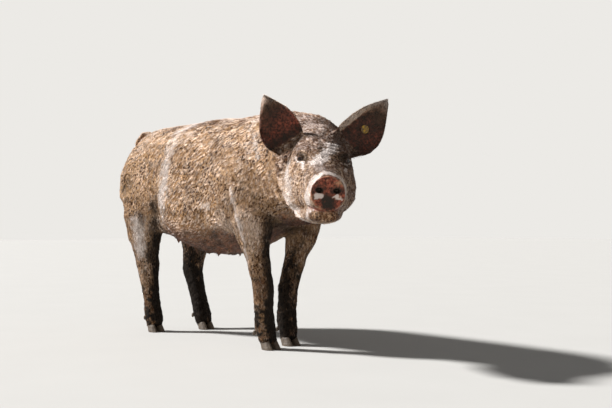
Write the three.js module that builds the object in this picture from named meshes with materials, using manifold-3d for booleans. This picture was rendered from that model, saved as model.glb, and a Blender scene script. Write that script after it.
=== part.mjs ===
// A young sow standing still with her head turned to the right, life size, in millimetres.
// +X is the way her body faces, +Y is her left and +Z is up.
// Flesh is lofted along the spine, face and limbs, joined into one body, and then parted by thin cuts.
import * as THREE from 'three';
import { mergeVertices } from 'three/addons/utils/BufferGeometryUtils.js';
import Module from 'manifold-3d';

const wasm = await Module();
wasm.setup();

// ---------- Driving dimensions ----------
const CUT = 0.6; // width of the cut between two neighbouring parts of flesh
const FIT = 0.4; // clearance round a hard piece that is set into flesh
const SIDES = [['left', 1], ['right', -1]];

// The head's frame: its place behind the brow, and its turn to her right, its dip and its tilt.
const HEAD = { at: [677, -70, 590], yaw: -32.6, pitch: 9, roll: -2.5, length: 330 };
const SNOUT = { radius: 54, thick: 16, rim: 10, dish: 3, ahead: 4, aside: -2.5 };
const NOSTRIL = { reach: [22, 10.5, 7.5], apart: 27, above: 9 };
const EYE = { at: [139, 71, 86], radius: 13 };
const TEAT = { pairs: 6, first: 150, last: -230, apart: 78, height: 346, radius: 7, length: 17 };
const HOOF = { length: 64, width: 31, height: 46, apart: 17.5, ahead: 14, splay: 3 };
// The claw's backward lean, how soon its dome rises, and how much it narrows to the toe and to the top.
const CLAW = { slope: 0.62, rise: 0.62, toe: 0.3, top: 0.12 };
const DEWCLAW = { at: [-33, 19, 58], size: [8, 8, 16], lean: 35 };
const TAG = { radius: 14, thick: 3, stud: 4, back: 9, along: 0.45, aside: 24 };

// Cross-sections of the trunk and neck: x and y of the centre, lowest and highest point, half the width.
const SPINE = [
  [-618, 0, 560, 846, 122],
  [-520, 0, 470, 869, 168],
  [-410, 0, 428, 871, 188],
  [-290, 0, 398, 871, 198],
  [-160, 0, 362, 870, 208],
  [-20, 0, 336, 870, 214],
  [120, 0, 338, 868, 211],
  [260, 0, 396, 864, 200],
  [380, 0, 445, 861, 186],
  [480, -6, 448, 852, 168],
  [570, -26, 462, 834, 152],
  [640, -50, 478, 802, 132],
  [700, -84, 505, 752, 102],
];

const WIDEST = 0.48; // where the trunk is widest, from its lowest point to its highest

// Soft mounds on the trunk: the place of the middle, the size each way, and how far it stands out. The paired
// ones are on both sides, with y given for her left.
const TRUNK_PAIRS = [
  [[330, 175, 600], [95, 90, 150], 20], // shoulder blade
  [[368, 165, 465], [95, 80, 85], 26], // upper arm
  [[-425, 165, 470], [110, 90, 80], 18], // thigh
  [[205, 190, 560], [50, 100, 170], -9], // hollow behind the shoulder
  [[-500, 150, 610], [110, 80, 130], 42], // ham
  [[-255, 180, 690], [70, 90, 90], -9], // hollow in front of the hip
  [[-250, 190, 470], [70, 100, 90], -12], // flank
  [[500, 150, 560], [80, 80, 90], -6], // side of the neck
];
const TRUNK_MOUNDS = [
  [[470, 0, 450], [80, 80, 60], 12], // brisket
  [[-60, 0, 330], [230, 120, 60], 8], // udder
  [[-620, 0, 560], [70, 32, 150], -16], // cleft between the hams
];

// Cross-sections of the face, in the head's own frame: x, lowest point, highest point, height of the
// widest line, half the width.
const FACE = [
  [-60, -118, 184, 30, 92],
  [0, -122, 192, 20, 106],
  [60, -120, 169, 5, 112],
  [112, -108, 141, -2, 108],
  [158, -96, 111, 4, 94],
  [205, -84, 84, 0, 75],
  [255, -70, 66, -5, 60],
  [296, -56, 57, 0, 53],
  [322, -50, 53, 0, 51],
];
const JAW = [
  [50, -128, -40, 86],
  [115, -124, -45, 80],
  [180, -116, -44, 66],
  [245, -104, -46, 50],
  [304, -90, -42, 36],
];

const FACE_PAIRS = [
  [[70, 115, -35], [62, 40, 52], 16], // cheek
  [[128, 70, 106], [34, 28, 20], 12], // brow
  [[150, 86, 62], [34, 24, 20], 6], // cheekbone
  [[196, 74, 40], [40, 30, 26], -6], // hollow under the eye
  [[262, 56, -30], [40, 24, 24], 6], // corner of the upper lip
];
const FACE_MOUNDS = [
  [[292, 0, 62], [34, 30, 18], 3], // pad above the disc
  [[225, 0, 75], [36, 34, 30], -6], // dish of the face
  [[30, 0, 185], [60, 60, 40], 5], // poll
];
const MIDDLE = { trunk: 620, face: 5 }; // height of the line that mounds stand away from

// Each leg's joints from the top down, then the point on the ground between the two claws.
const LEGS = {
  foreleg_right: [[345, -112, 610], [373, -119, 420], [386, -86, 218], [378, -74, 84], [396, -66, 18]],
  foreleg_left: [[335, 112, 610], [338, 129, 425], [323, 73, 220], [331, 61, 84], [348, 60, 18]],
  hindleg_right: [
    [-405, -112, 620], [-424, -128, 430], [-437, -103, 256], [-386, -106, 84], [-368, -107, 18],
  ],
  hindleg_left: [[-395, 112, 620], [-416, 128, 430], [-444, 120, 264], [-359, 113, 84], [-326, 113, 18]],
};
// Thickness along a leg: how many joints down, half the width, reach to the front and to the back.
const FORE = [
  [0, 58, 96, 92],
  [0.5, 76, 104, 104],
  [1, 66, 79, 83],
  [1.3, 46, 47, 50],
  [1.7, 39, 42, 38],
  [2, 38, 40, 37],
  [2.3, 36, 36, 36],
  [2.7, 35, 34, 37],
  [3, 37, 36, 38],
  [3.5, 35, 35, 33],
  [4, 30, 28, 34],
];
const HIND = [
  [0, 62, 120, 122],
  [0.5, 86, 132, 142],
  [1, 72, 98, 108],
  [1.45, 53, 66, 67],
  [1.8, 45, 56, 57],
  [2, 43, 54, 53],
  [2.3, 37, 39, 41],
  [2.7, 34, 34, 35],
  [3, 37, 36, 39],
  [3.5, 37, 37, 38],
  [4, 30, 28, 34],
];
const KNEE_HEIGHT = 226; // where a foreleg or hind leg is parted from its foot
// The rounded space that parts an upper leg from the trunk: how far out and how high its middle lies, and its
// reach along, across and up. A smaller one round the forearm or gaskin is added below it.
const UPPER = { out: 152, height: 500, across: 128, fore: [150, 235], hind: [175, 250] };
const LOWER = { height: 300, reach: [115, 100, 150] };
const FOOT_SPACE = { back: 170, ahead: 190, out: 240, under: 20, inside: 1 };
// Where the trunk ends and the neck ends: a point on each cut, with its turn and its tilt.
const NECK_CUT = { at: [452, 0, 640], yaw: -6, pitch: -20 };
const HEAD_CUT = { at: [632, -55, 640], yaw: -28, pitch: -14 };
const FRONT_SPACE = [600, 700, 900]; // what lies in front of such a cut

// The tail arches up from the rump, drops over her right buttock and curls in again below.
const TAIL = [
  [-516, 1, 776], [-556, 0, 822], [-590, -4, 850], [-618, -16, 861], [-627, -36, 849], [-622, -56, 826],
  [-610, -72, 800], [-618, -70, 776], [-636, -52, 765], [-645, -32, 774],
];
const TAIL_THICK = [14, 7]; // radius at the root and at the tip

// Each ear's root and tip and the way its hollow faces, in the head's frame. Then the flat leaf's reach from
// its middle line to the outer and to the inner edge, at equal steps from root to tip.
const EARS = {
  left: {
    base: [12, 77, 151], tip: [-22, 226, 289], faces: [0.95, 0.12, -0.2],
    outer: [82, 104, 102, 83, 49, 6], inner: [66, 62, 53, 43, 25, 5],
  },
  right: {
    base: [12, -95, 138], tip: [-10, -196, 280], faces: [0.93, -0.3, -0.05],
    outer: [79, 96, 90, 70, 39, 5], inner: [66, 69, 64, 51, 28, 5],
  },
};
const EAR = { thickRoot: 10, thickRim: 5, curlRoot: 52, curlTip: 170, sunk: 0.14 };
const EAR_SPACE = { across: 174, deep: 116, long: 290, aside: 25, ahead: 30, above: 4 };

// ---------- Tools for solids ----------
const vec = (a) => new THREE.Vector3(...a);
const mix = THREE.MathUtils.lerp;
const rad = THREE.MathUtils.degToRad;

// A three.js geometry as a closed solid that faces outwards.
function solid(geometry) {
  const bare = new THREE.BufferGeometry().setAttribute('position', geometry.getAttribute('position').clone());
  if (geometry.index) bare.setIndex(geometry.index.clone());
  const merged = mergeVertices(bare, 1e-3);
  const triangles = new Uint32Array(merged.index.array);
  const made = () => new wasm.Manifold(new wasm.Mesh({
    numProp: 3, vertProperties: new Float32Array(merged.attributes.position.array), triVerts: triangles,
  }));
  const first = made();
  if (first.volume() > 0) return first;
  for (let i = 0; i < triangles.length; i += 3) {
    [triangles[i + 1], triangles[i + 2]] = [triangles[i + 2], triangles[i + 1]];
  }
  return made();
}

// A solid back as a geometry that a mesh can hold.
function geometryOf(shape) {
  const mesh = shape.getMesh();
  return new THREE.BufferGeometry()
    .setAttribute('position', new THREE.BufferAttribute(new Float32Array(mesh.vertProperties), 3))
    .setIndex(new THREE.BufferAttribute(new Uint32Array(mesh.triVerts), 1));
}

const biggest = (shape) => shape.decompose().sort((a, b) => b.volume() - a.volume())[0];

// Moves every vertex of a geometry by a function of its place.
function reshape(geometry, move) {
  const places = geometry.getAttribute('position');
  const p = new THREE.Vector3();
  for (let i = 0; i < places.count; i += 1) {
    p.fromBufferAttribute(places, i);
    move(p);
    places.setXYZ(i, p.x, p.y, p.z);
  }
  return geometry;
}

// A closed tube of flesh along stations { at, side, up, down }: each is a cross-section, with its centre,
// half its width and its reach above and below the centre. It is a sphere's grid pulled along the stations,
// and both ends close in a dome. `above` is the direction that up points in, `facing` holds every section
// square to one direction instead of to the line, and `square` is how boxy a section is.
function loft(stations, { rows, around, above = [0, 0, 1], facing, square, domes, domeRows }) {
  const line = new THREE.CatmullRomCurve3(stations.map((s) => vec(s.at)), false, 'catmullrom', 0.5);
  const size = new THREE.CatmullRomCurve3(
    stations.map((s) => new THREE.Vector3(s.side, s.up, s.down)), false, 'catmullrom', 0.5);
  const upward = vec(above);
  const share = domeRows / rows;
  const power = 2 / square;
  return reshape(new THREE.SphereGeometry(1, around, rows), (p) => {
    const row = Math.acos(THREE.MathUtils.clamp(p.y, -1, 1)) / Math.PI;
    const turn = Math.atan2(p.z, p.x);
    let t = mix(domes[0], 1 - domes[1], (row - share) / (1 - 2 * share));
    let swell = 1;
    if (row < share) {
      const q = (row / share) * Math.PI / 2;
      t = domes[0] * (1 - Math.cos(q));
      swell = Math.sin(q);
    } else if (row > 1 - share) {
      const q = ((1 - row) / share) * Math.PI / 2;
      t = 1 - domes[1] * (1 - Math.cos(q));
      swell = Math.sin(q);
    }
    t = THREE.MathUtils.clamp(t, 0, 1);
    const s = size.getPoint(t);
    const tangent = facing ? vec(facing) : line.getTangent(t);
    const side = new THREE.Vector3().crossVectors(upward, tangent).normalize();
    const up = new THREE.Vector3().crossVectors(tangent, side);
    const c = Math.cos(turn);
    const h = Math.sin(turn);
    const reach = h > 0 ? s.y : s.z;
    p.copy(line.getPoint(t))
      .addScaledVector(side, s.x * swell * Math.sign(c) * Math.abs(c) ** power)
      .addScaledVector(up, reach * swell * Math.sign(h) * Math.abs(h) ** power);
  });
}

// Pushes a surface away from the line along its middle, in soft mounds.
function swellings(geometry, pairs, single, height) {
  const mirrored = pairs.map(([[x, y, z], size, by]) => [[x, -y, z], size, by]);
  const mounds = [...pairs, ...mirrored, ...single].map(([at, size, by]) => [vec(at), vec(size), by]);
  const away = new THREE.Vector3();
  const d = new THREE.Vector3();
  return reshape(geometry, (p) => {
    away.set(0, p.y, p.z - height).normalize();
    const from = p.clone();
    for (const [at, size, by] of mounds) {
      d.copy(from).sub(at).divide(size);
      p.addScaledVector(away, by * Math.exp(-d.lengthSq()));
    }
  });
}

const ball = (at, size, grow, around, rows) => solid(
  new THREE.SphereGeometry(1, around, rows)
    .rotateX(Math.PI / 2)
    .scale(size[0] + grow, size[1] + grow, size[2] + grow)
    .translate(...at));

const block = (low, high) => solid(
  new THREE.BoxGeometry(high[0] - low[0], high[1] - low[1], high[2] - low[2])
    .translate((high[0] + low[0]) / 2, (high[1] + low[1]) / 2, (high[2] + low[2]) / 2));

// ---------- Frames ----------
const headFrame = new THREE.Object3D();
headFrame.position.set(...HEAD.at);
headFrame.rotation.set(rad(HEAD.roll), rad(HEAD.pitch), rad(HEAD.yaw), 'ZYX');
headFrame.updateMatrixWorld(true);
const inBody = (geometry) => geometry.applyMatrix4(headFrame.matrixWorld);

// ---------- Trunk and neck ----------
function trunk() {
  const stations = SPINE.map(([x, y, low, high, half]) => ({
    at: [x, y, mix(low, high, WIDEST)],
    side: half,
    up: (1 - WIDEST) * (high - low),
    down: WIDEST * (high - low),
  }));
  const flesh = loft(stations, { rows: 22, around: 20, square: 2.35, domes: [0.105, 0.04], domeRows: 4 });
  return swellings(flesh, TRUNK_PAIRS, TRUNK_MOUNDS, MIDDLE.trunk);
}

function teats() {
  const made = [];
  for (let i = 0; i < TEAT.pairs; i += 1) {
    const x = mix(TEAT.first, TEAT.last, i / (TEAT.pairs - 1));
    for (const [, s] of SIDES) made.push({ x, y: s * TEAT.apart });
  }
  return made;
}

// ---------- Head ----------
function face() {
  const stations = FACE.map(([x, low, high, widest, half]) => ({
    at: [x, 0, widest], side: half, up: high - widest, down: widest - low,
  }));
  const flesh = loft(stations, {
    rows: 22, around: 22, facing: [1, 0, 0], square: 2.3, domes: [0.08, 0.012], domeRows: 3,
  });
  return swellings(flesh, FACE_PAIRS, FACE_MOUNDS, MIDDLE.face);
}

function jaw() {
  const stations = JAW.map(([x, low, high, half]) => ({
    at: [x, 0, (low + high) / 2], side: half, up: (high - low) / 2, down: (high - low) / 2,
  }));
  return loft(stations, {
    rows: 9, around: 14, facing: [1, 0, 0], square: 2.3, domes: [0.15, 0.12], domeRows: 3,
  });
}

// The flat rooting disc at the end of the snout, with a raised rim.
function snoutDisc(grow) {
  const { thick, rim, dish } = SNOUT;
  const r = SNOUT.radius + grow;
  const edge = new THREE.Path()
    .moveTo(0, -grow)
    .lineTo(r - dish, -grow)
    .quadraticCurveTo(r + dish - 1, thick / 2, r - 1, thick)
    .lineTo(r - rim, thick - dish)
    .lineTo(0, thick - dish - 1);
  return solid(inBody(new THREE.LatheGeometry(edge.getPoints(2), 16)
    .rotateZ(-Math.PI / 2).translate(HEAD.length - thick + SNOUT.ahead, SNOUT.aside, 0)));
}

// ---------- Ears ----------
// A leaf that is rolled at its root and opens towards its tip. It answers with the place of a point that lies
// `along` the ear, `aside` from its middle line and `deep` out of the middle of its thickness.
function leaf({ base, tip, faces }, sign) {
  const root = vec(base);
  const axis = vec(tip).sub(root);
  const length = axis.length();
  axis.normalize();
  const hollow = vec(faces);
  hollow.addScaledVector(axis, -hollow.dot(axis)).normalize();
  const outwards = new THREE.Vector3().crossVectors(axis, hollow).multiplyScalar(sign);
  return (along, aside, deep) => {
    const radius = mix(EAR.curlRoot, EAR.curlTip, along);
    const turn = aside / radius;
    const r = radius - deep;
    return root.clone()
      .addScaledVector(axis, length * mix(-EAR.sunk, 1, along))
      .addScaledVector(outwards, r * Math.sin(turn))
      .addScaledVector(hollow, radius - r * Math.cos(turn));
  };
}

function ear(shape, sign) {
  const place = leaf(shape, sign);
  const [outer, inner] = [shape.outer, shape.inner].map((reaches) => new THREE.CatmullRomCurve3(
    reaches.map((reach, i) => new THREE.Vector3(i, reach, 0)), false, 'catmullrom', 0.5));
  return reshape(new THREE.BoxGeometry(1, 1, 1, 7, 8, 1), (p) => {
    const along = p.y + 0.5;
    const aside = mix(-inner.getPoint(along).y, outer.getPoint(along).y, p.x + 0.5);
    const rim = Math.max(along, Math.abs(p.x) * 2);
    p.copy(place(along, aside, p.z * mix(EAR.thickRoot, EAR.thickRim, rim)));
  });
}

// The space that an ear takes up beyond a flat cut across its root.
function earRegion({ base, tip, faces }, sign, grow) {
  const root = vec(base);
  const place = new THREE.Matrix4().lookAt(vec(tip), root, vec(faces)).setPosition(root);
  const { across, deep, long, aside, ahead: front, above } = EAR_SPACE;
  const box = new THREE.BoxGeometry(across, deep, long)
    .translate(-sign * aside, front, long / 2 + above - grow);
  return solid(inBody(box.applyMatrix4(place)));
}

// A button tag: a disc on the inside of the ear, a stud through it and a smaller disc behind it.
function earTag(grow) {
  const place = leaf(EARS.left, 1);
  const front = place(TAG.along, TAG.aside, 0);
  const normal = place(TAG.along, TAG.aside, 1).sub(front);
  const turn = new THREE.Quaternion().setFromUnitVectors(new THREE.Vector3(0, 1, 0), normal);
  const disc = (radius, low, high) => solid(inBody(
    new THREE.CylinderGeometry(radius + grow, radius + grow, high - low + 2 * grow, 12)
      .translate(0, (high + low) / 2, 0).applyQuaternion(turn).translate(...front.toArray())));
  const off = EAR.thickRoot / 2;
  return disc(TAG.radius, off, off + TAG.thick)
    .add(disc(TAG.stud, -off - 1, off + 1))
    .add(disc(TAG.back, -off - TAG.thick, -off));
}

// ---------- Legs ----------
function limb(joints, shape) {
  const points = joints.map(vec);
  const stations = shape.map(([down, side, front, back]) => {
    const i = Math.min(Math.floor(down), points.length - 2);
    return { at: points[i].clone().lerp(points[i + 1], down - i).toArray(), side, up: front, down: back };
  });
  return loft(stations, {
    rows: 16, around: 12, above: [1, 0, 0], square: 2.2, domes: [0.06, 0.03], domeRows: 3,
  });
}

// One claw: a dome of horn with a flat sole, leaning back from its toe.
function claw(grow = 0) {
  const { length, width, height } = HOOF;
  return reshape(new THREE.SphereGeometry(1, 8, 6).rotateX(Math.PI / 2), (p) => {
    const z = Math.max(p.z, 0) ** CLAW.rise * (height + grow);
    const toe = p.x > 0 ? 1 - CLAW.toe * p.x * Math.abs(p.y) : 1;
    p.set(
      p.x * (length / 2 + grow) * toe - z * CLAW.slope,
      p.y * (width / 2 + grow) * (1 - CLAW.top * z / height),
      z - grow * (p.z <= 0 ? 1 : 0));
  });
}

function clawPlaces([x, y]) {
  return SIDES.map(([side, s]) => (
    { side, at: [x + HOOF.ahead, y + s * HOOF.apart, 0], turn: rad(s * HOOF.splay) }));
}

function dewclaw(grow = 0) {
  return new THREE.SphereGeometry(1, 6, 4)
    .scale(DEWCLAW.size[0] + grow, DEWCLAW.size[1] + grow, DEWCLAW.size[2] + grow)
    .rotateY(rad(DEWCLAW.lean));
}

function dewclawPlaces([x, y]) {
  const [back, aside, height] = DEWCLAW.at;
  return SIDES.map(([side, s]) => ({ side, at: [x + back, y + s * aside, height] }));
}

// ---------- Tail ----------
function tail(grow) {
  const stations = TAIL.map((at, i) => {
    const r = mix(...TAIL_THICK, i / (TAIL.length - 1)) + grow;
    return { at, side: r, up: r, down: r };
  });
  return solid(loft(stations, { rows: 15, around: 7, square: 2, domes: [0.04, 0.04], domeRows: 2 }));
}

// ---------- Colours and finishes ----------
const finish = (color, roughness) => new THREE.MeshStandardMaterial({ color, roughness, metalness: 0 });
const muddyCoat = finish(0xb89675, 0.9);
const snoutSkin = finish(0x9a5a48, 0.45);
const earSkin = finish(0x9b7566, 0.8);
const horn = finish(0x6b5a49, 0.55);
const eyeball = finish(0x2a1c15, 0.08);
const yellowPlastic = finish(0xd8b21c, 0.4);

// ---------- Assembly ----------
const sow = new THREE.Group();
sow.name = 'sow';
const add = (name, shape, material) => {
  const mesh = new THREE.Mesh(shape instanceof THREE.BufferGeometry ? shape : geometryOf(shape), material);
  mesh.name = name;
  sow.add(mesh);
};

let flesh = solid(trunk());
for (const [name, joints] of Object.entries(LEGS)) {
  flesh = flesh.add(solid(limb(joints, name.startsWith('fore') ? FORE : HIND)));
}
for (const { x, y } of teats()) {
  flesh = flesh.add(ball([x, y, TEAT.height], [TEAT.radius, TEAT.radius, TEAT.length], 0, 6, 4));
}
flesh = flesh.add(solid(inBody(face()))).add(solid(inBody(jaw())));
for (const [side, s] of SIDES) flesh = flesh.add(solid(inBody(ear(EARS[side], s))));

// Hard pieces are set into the flesh with a small clearance.
for (const [side, s] of SIDES) {
  const at = [EYE.at[0], s * EYE.at[1], EYE.at[2]];
  const socket = (r) => inBody(new THREE.SphereGeometry(r, 10, 7).translate(...at));
  flesh = flesh.subtract(solid(socket(EYE.radius + FIT)));
  add(`eye_${side}`, solid(socket(EYE.radius)), eyeball);
}
for (const [name, joints] of Object.entries(LEGS)) {
  const foot = joints[4];
  for (const { side, at, turn } of clawPlaces(foot)) {
    const place = (g) => g.rotateZ(turn).translate(...at);
    flesh = flesh.subtract(solid(place(claw(FIT))));
    add(`${name}_claw_${side}`, solid(place(claw())), horn);
  }
  for (const { side, at } of dewclawPlaces(joints[3])) {
    flesh = flesh.subtract(solid(dewclaw(FIT).translate(...at)));
    add(`${name}_dewclaw_${side}`, solid(dewclaw().translate(...at)), horn);
  }
}

flesh = flesh.subtract(earTag(FIT)).subtract(tail(FIT));
add('ear_tag', earTag(0), yellowPlastic);
add('tail', tail(0), muddyCoat);

// The rooting disc stands in front of the face.
const nostril = (s) => solid(inBody(new THREE.SphereGeometry(1, 8, 6)
  .scale(...NOSTRIL.reach)
  .translate(HEAD.length, SNOUT.aside + s * NOSTRIL.apart, NOSTRIL.above)));
let snout = snoutDisc(0);
for (const [, s] of SIDES) snout = snout.subtract(nostril(s));

// ---------- Parting the flesh ----------
function part(name, region, grown, material = muddyCoat) {
  const piece = biggest(flesh.intersect(region));
  flesh = flesh.subtract(grown);
  add(name, piece, material);
}
for (const [side, s] of SIDES) {
  part(`ear_${side}`, earRegion(EARS[side], s, 0), earRegion(EARS[side], s, CUT), earSkin);
}
for (const [name, joints] of Object.entries(LEGS)) {
  const [, elbow, knee] = joints;
  const s = Math.sign(elbow[1]);
  const foot = (grow) => {
    const [inside, outside] = [s * (FOOT_SPACE.inside - grow), s * FOOT_SPACE.out].sort((a, b) => a - b);
    return block([knee[0] - FOOT_SPACE.back, inside, -FOOT_SPACE.under],
      [knee[0] + FOOT_SPACE.ahead, outside, KNEE_HEIGHT + grow]);
  };
  part(name.replace('leg', 'foot'), foot(0), foot(CUT));
  const [along, up] = name.startsWith('fore') ? UPPER.fore : UPPER.hind;
  const middle = [elbow[0], s * UPPER.out, UPPER.height];
  const upper = (grow) => ball(middle, [along, UPPER.across, up], grow, 14, 8)
    .add(ball([elbow[0], elbow[1], LOWER.height], LOWER.reach, grow, 10, 6));
  part(name, upper(0), upper(CUT));
}

// The neck is cut from the trunk square to the spine, and the head from the neck behind the ears.
function ahead({ at, yaw, pitch }, grow) {
  const slab = new THREE.BoxGeometry(...FRONT_SPACE).translate(FRONT_SPACE[0] / 2 - grow, 0, 0);
  const place = new THREE.Object3D();
  place.position.set(...at);
  place.rotation.set(0, rad(pitch), rad(yaw), 'ZYX');
  place.updateMatrixWorld(true);
  return solid(slab.applyMatrix4(place.matrixWorld));
}
flesh = flesh.subtract(snoutDisc(FIT));
part('head', ahead(HEAD_CUT, 0), ahead(HEAD_CUT, CUT));
part('neck', ahead(NECK_CUT, 0), ahead(NECK_CUT, CUT));
add('trunk', biggest(flesh), muddyCoat);
add('snout', snout, snoutSkin);

// The origin is on the floor under the middle of the bounding box.
const box = new THREE.Box3().setFromObject(sow);
const centre = box.getCenter(new THREE.Vector3());
sow.position.set(-centre.x, -centre.y, -box.min.z);

export default sow;
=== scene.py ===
"""A young sow under dried mud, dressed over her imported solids: hide, bristles, eyes, horn and a tag."""
import logging
import math
from dataclasses import dataclass, field
from enum import Enum

import bmesh
import bpy
import numpy as np
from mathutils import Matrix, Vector
from mathutils.bvhtree import BVHTree


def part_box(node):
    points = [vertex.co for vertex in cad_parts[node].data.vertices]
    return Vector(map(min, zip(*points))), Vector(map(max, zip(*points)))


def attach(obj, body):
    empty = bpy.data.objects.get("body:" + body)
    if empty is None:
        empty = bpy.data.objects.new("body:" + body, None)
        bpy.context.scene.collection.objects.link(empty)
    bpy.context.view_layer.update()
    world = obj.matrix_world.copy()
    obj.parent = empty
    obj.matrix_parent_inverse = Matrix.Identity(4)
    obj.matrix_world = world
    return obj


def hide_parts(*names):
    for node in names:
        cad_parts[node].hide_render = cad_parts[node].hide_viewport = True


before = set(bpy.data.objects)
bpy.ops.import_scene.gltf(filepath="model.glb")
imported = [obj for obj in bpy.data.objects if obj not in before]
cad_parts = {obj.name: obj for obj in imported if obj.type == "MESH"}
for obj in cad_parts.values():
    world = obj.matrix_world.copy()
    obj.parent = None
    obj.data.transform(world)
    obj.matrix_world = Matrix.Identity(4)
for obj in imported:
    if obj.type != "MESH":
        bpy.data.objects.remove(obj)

LOG = logging.getLogger("sow")
Array = np.ndarray
Mesh = bpy.types.Mesh
Piece = bpy.types.Object
Finish = bpy.types.Material
Tree = bpy.types.NodeTree
Node = bpy.types.Node
Socket = bpy.types.NodeSocket
MM = 0.001
SEED = 846
# Vertices closer than this are one, in metres.
WELD = 1e-6
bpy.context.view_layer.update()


# ---------- Nodes ----------

def linear(code: str) -> tuple[float, float, float, float]:
    """Turns an sRGB hex colour into linear red, green, blue and a full alpha.

    Args:
        code: Six hex digits.

    Returns:
        The linear colour, ready for a shader socket.
    """
    parts = [int(code[i:i + 2], 16) / 255 for i in (0, 2, 4)]
    red, green, blue = (c / 12.92 if c <= 0.04045 else ((c + 0.055) / 1.055) ** 2.4 for c in parts)
    return red, green, blue, 1.0


def feed(tree: Tree, node: Node, sockets: dict) -> None:
    """Sets or links a node's inputs.

    Args:
        tree: The tree that the node is in.
        node: The node.
        sockets: Input name or index to a value, or to the output socket that feeds it.
    """
    for key, value in sockets.items():
        if isinstance(value, Socket):
            tree.links.new(value, node.inputs[key])
        else:
            node.inputs[key].default_value = value


def add_node(tree: Tree, kind: str, sockets: dict | None = None, **settings: object) -> Node:
    """Adds one node to a tree, with its settings, values and links.

    Args:
        tree: The shader or geometry tree.
        kind: The node's type name.
        sockets: Its inputs, as feed takes them.
        **settings: The node's own properties.

    Returns:
        The new node.
    """
    node = tree.nodes.new(kind)
    for name, value in settings.items():
        setattr(node, name, value)
    feed(tree, node, sockets or {})
    return node


def calc(tree: Tree, operation: str, *values: object) -> Socket:
    """Works out one sum on numbers or sockets."""
    return add_node(tree, "ShaderNodeMath", dict(enumerate(values)), operation=operation).outputs[0]


def ramp(tree: Tree, value: Socket, low: float = 0.0, high: float = 1.0,
         first: float = 0.0, last: float = 1.0) -> Socket:
    """Carries the range from low to high over to the range from first to last, and holds it there."""
    return add_node(tree, "ShaderNodeMapRange", {0: value, 1: low, 2: high, 3: first, 4: last}).outputs[0]


def noise(tree: Tree, place: Socket, scale: float, detail: float = 2.0, roughness: float = 0.5) -> Node:
    """Adds a cloudy noise, whose outputs are its height and its colour."""
    return add_node(tree, "ShaderNodeTexNoise", {
        "Vector": place, "Scale": scale, "Detail": detail, "Roughness": roughness})


def mix(tree: Tree, factor: Socket, low: object, high: object, blend: str = "MIX") -> Socket:
    """Mixes two colours, which are sockets or linear values, by a factor that is 0 for the first."""
    return add_node(tree, "ShaderNodeMix", {0: factor, 6: low, 7: high}, data_type="RGBA",
                    blend_type=blend).outputs[2]


def bump(tree: Tree, height: Socket, strength: float, distance: float) -> Socket:
    """Turns a height into a surface direction, with the relief's depth in metres."""
    return add_node(tree, "ShaderNodeBump", {
        "Height": height, "Strength": strength, "Distance": distance}).outputs[0]


def attribute(tree: Tree, name: str) -> Socket:
    """Reads a number that is stored on the surface."""
    return add_node(tree, "ShaderNodeAttribute", attribute_name=name).outputs["Fac"]


def place_on(tree: Tree) -> Socket:
    """Gives the place on the piece in metres."""
    return add_node(tree, "ShaderNodeTexCoord").outputs["Object"]


# ---------- Numbers ----------

def unit(vectors: Array) -> Array:
    """Scales one row or many to length one."""
    return vectors / np.maximum(np.linalg.norm(vectors, axis=-1, keepdims=True), 1e-12)


def step(low: float, high: float, value: Array) -> Array:
    """Ramps smoothly from nought at low to one at high, which may be the lower of the two."""
    t = np.clip((value - low) / (high - low), 0, 1)
    return t * t * (3 - 2 * t)


def bell(value: Array) -> Array:
    """Gives one at nought and fades to both sides."""
    return np.exp(-value ** 2)


def flattened(vectors: Array, normals: Array) -> Array:
    """Takes out of each row what points along its normal."""
    return vectors - (vectors * normals).sum(1)[:, None] * normals


def scrambled(cells: Array, salt: int, shift: int) -> Array:
    """Turns rows of three whole numbers into 32 random bits each.

    Args:
        cells: The rows.
        salt: Picks the pattern.
        shift: By how many bits the halves are folded.

    Returns:
        One whole number for each row.
    """
    mixed = np.bitwise_xor.reduce(cells * np.array((73856093, 19349663, 83492791)), axis=1)
    mixed = (mixed * 2654435761 + salt) & 0xFFFFFFFF
    return ((mixed ^ (mixed >> shift)) * 2246822519) & 0xFFFFFFFF


def lattice_noise(points: Array, size: float, seed: int, octaves: int = 2) -> Array:
    """Smooth seeded noise in space, about -1 to 1.

    Args:
        points: Rows of x, y, z.
        size: The width of one lump, in the points' own unit.
        seed: Picks the pattern.
        octaves: How many finer layers are added.

    Returns:
        One number for each point.
    """
    total = np.zeros(len(points))
    weight = 0.0
    for octave in range(octaves):
        scaled = points / size * 2 ** octave + 71.3 * (seed + octave)
        cell = np.floor(scaled).astype(np.int64)
        part = scaled - cell
        part = part * part * (3 - 2 * part)
        value = np.zeros(len(points))
        for corner in range(8):
            offset = np.array([corner & 1, corner >> 1 & 1, corner >> 2 & 1])
            share = np.prod(np.where(offset == 1, part, 1 - part), axis=1)
            value += share * (scrambled(cell + offset, seed * 97, 15) / 0xFFFFFFFF * 2 - 1)
        total += value * 0.5 ** octave
        weight += 0.5 ** octave
    return total / weight * 1.5


def path_distance(points: Array, path: tuple) -> Array:
    """How far each point is from a line of straight stretches.

    Args:
        points: Rows of x, y, z.
        path: The line's corners.

    Returns:
        One distance for each point.
    """
    nearest = np.full(len(points), 1e9)
    for start, end in zip(path[:-1], path[1:]):
        a, b = np.array(start), np.array(end)
        share = np.clip((points - a) @ (b - a) / ((b - a) @ (b - a)), 0, 1)
        nearest = np.minimum(nearest, np.linalg.norm(points - a - share[:, None] * (b - a), axis=1))
    return nearest


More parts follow.
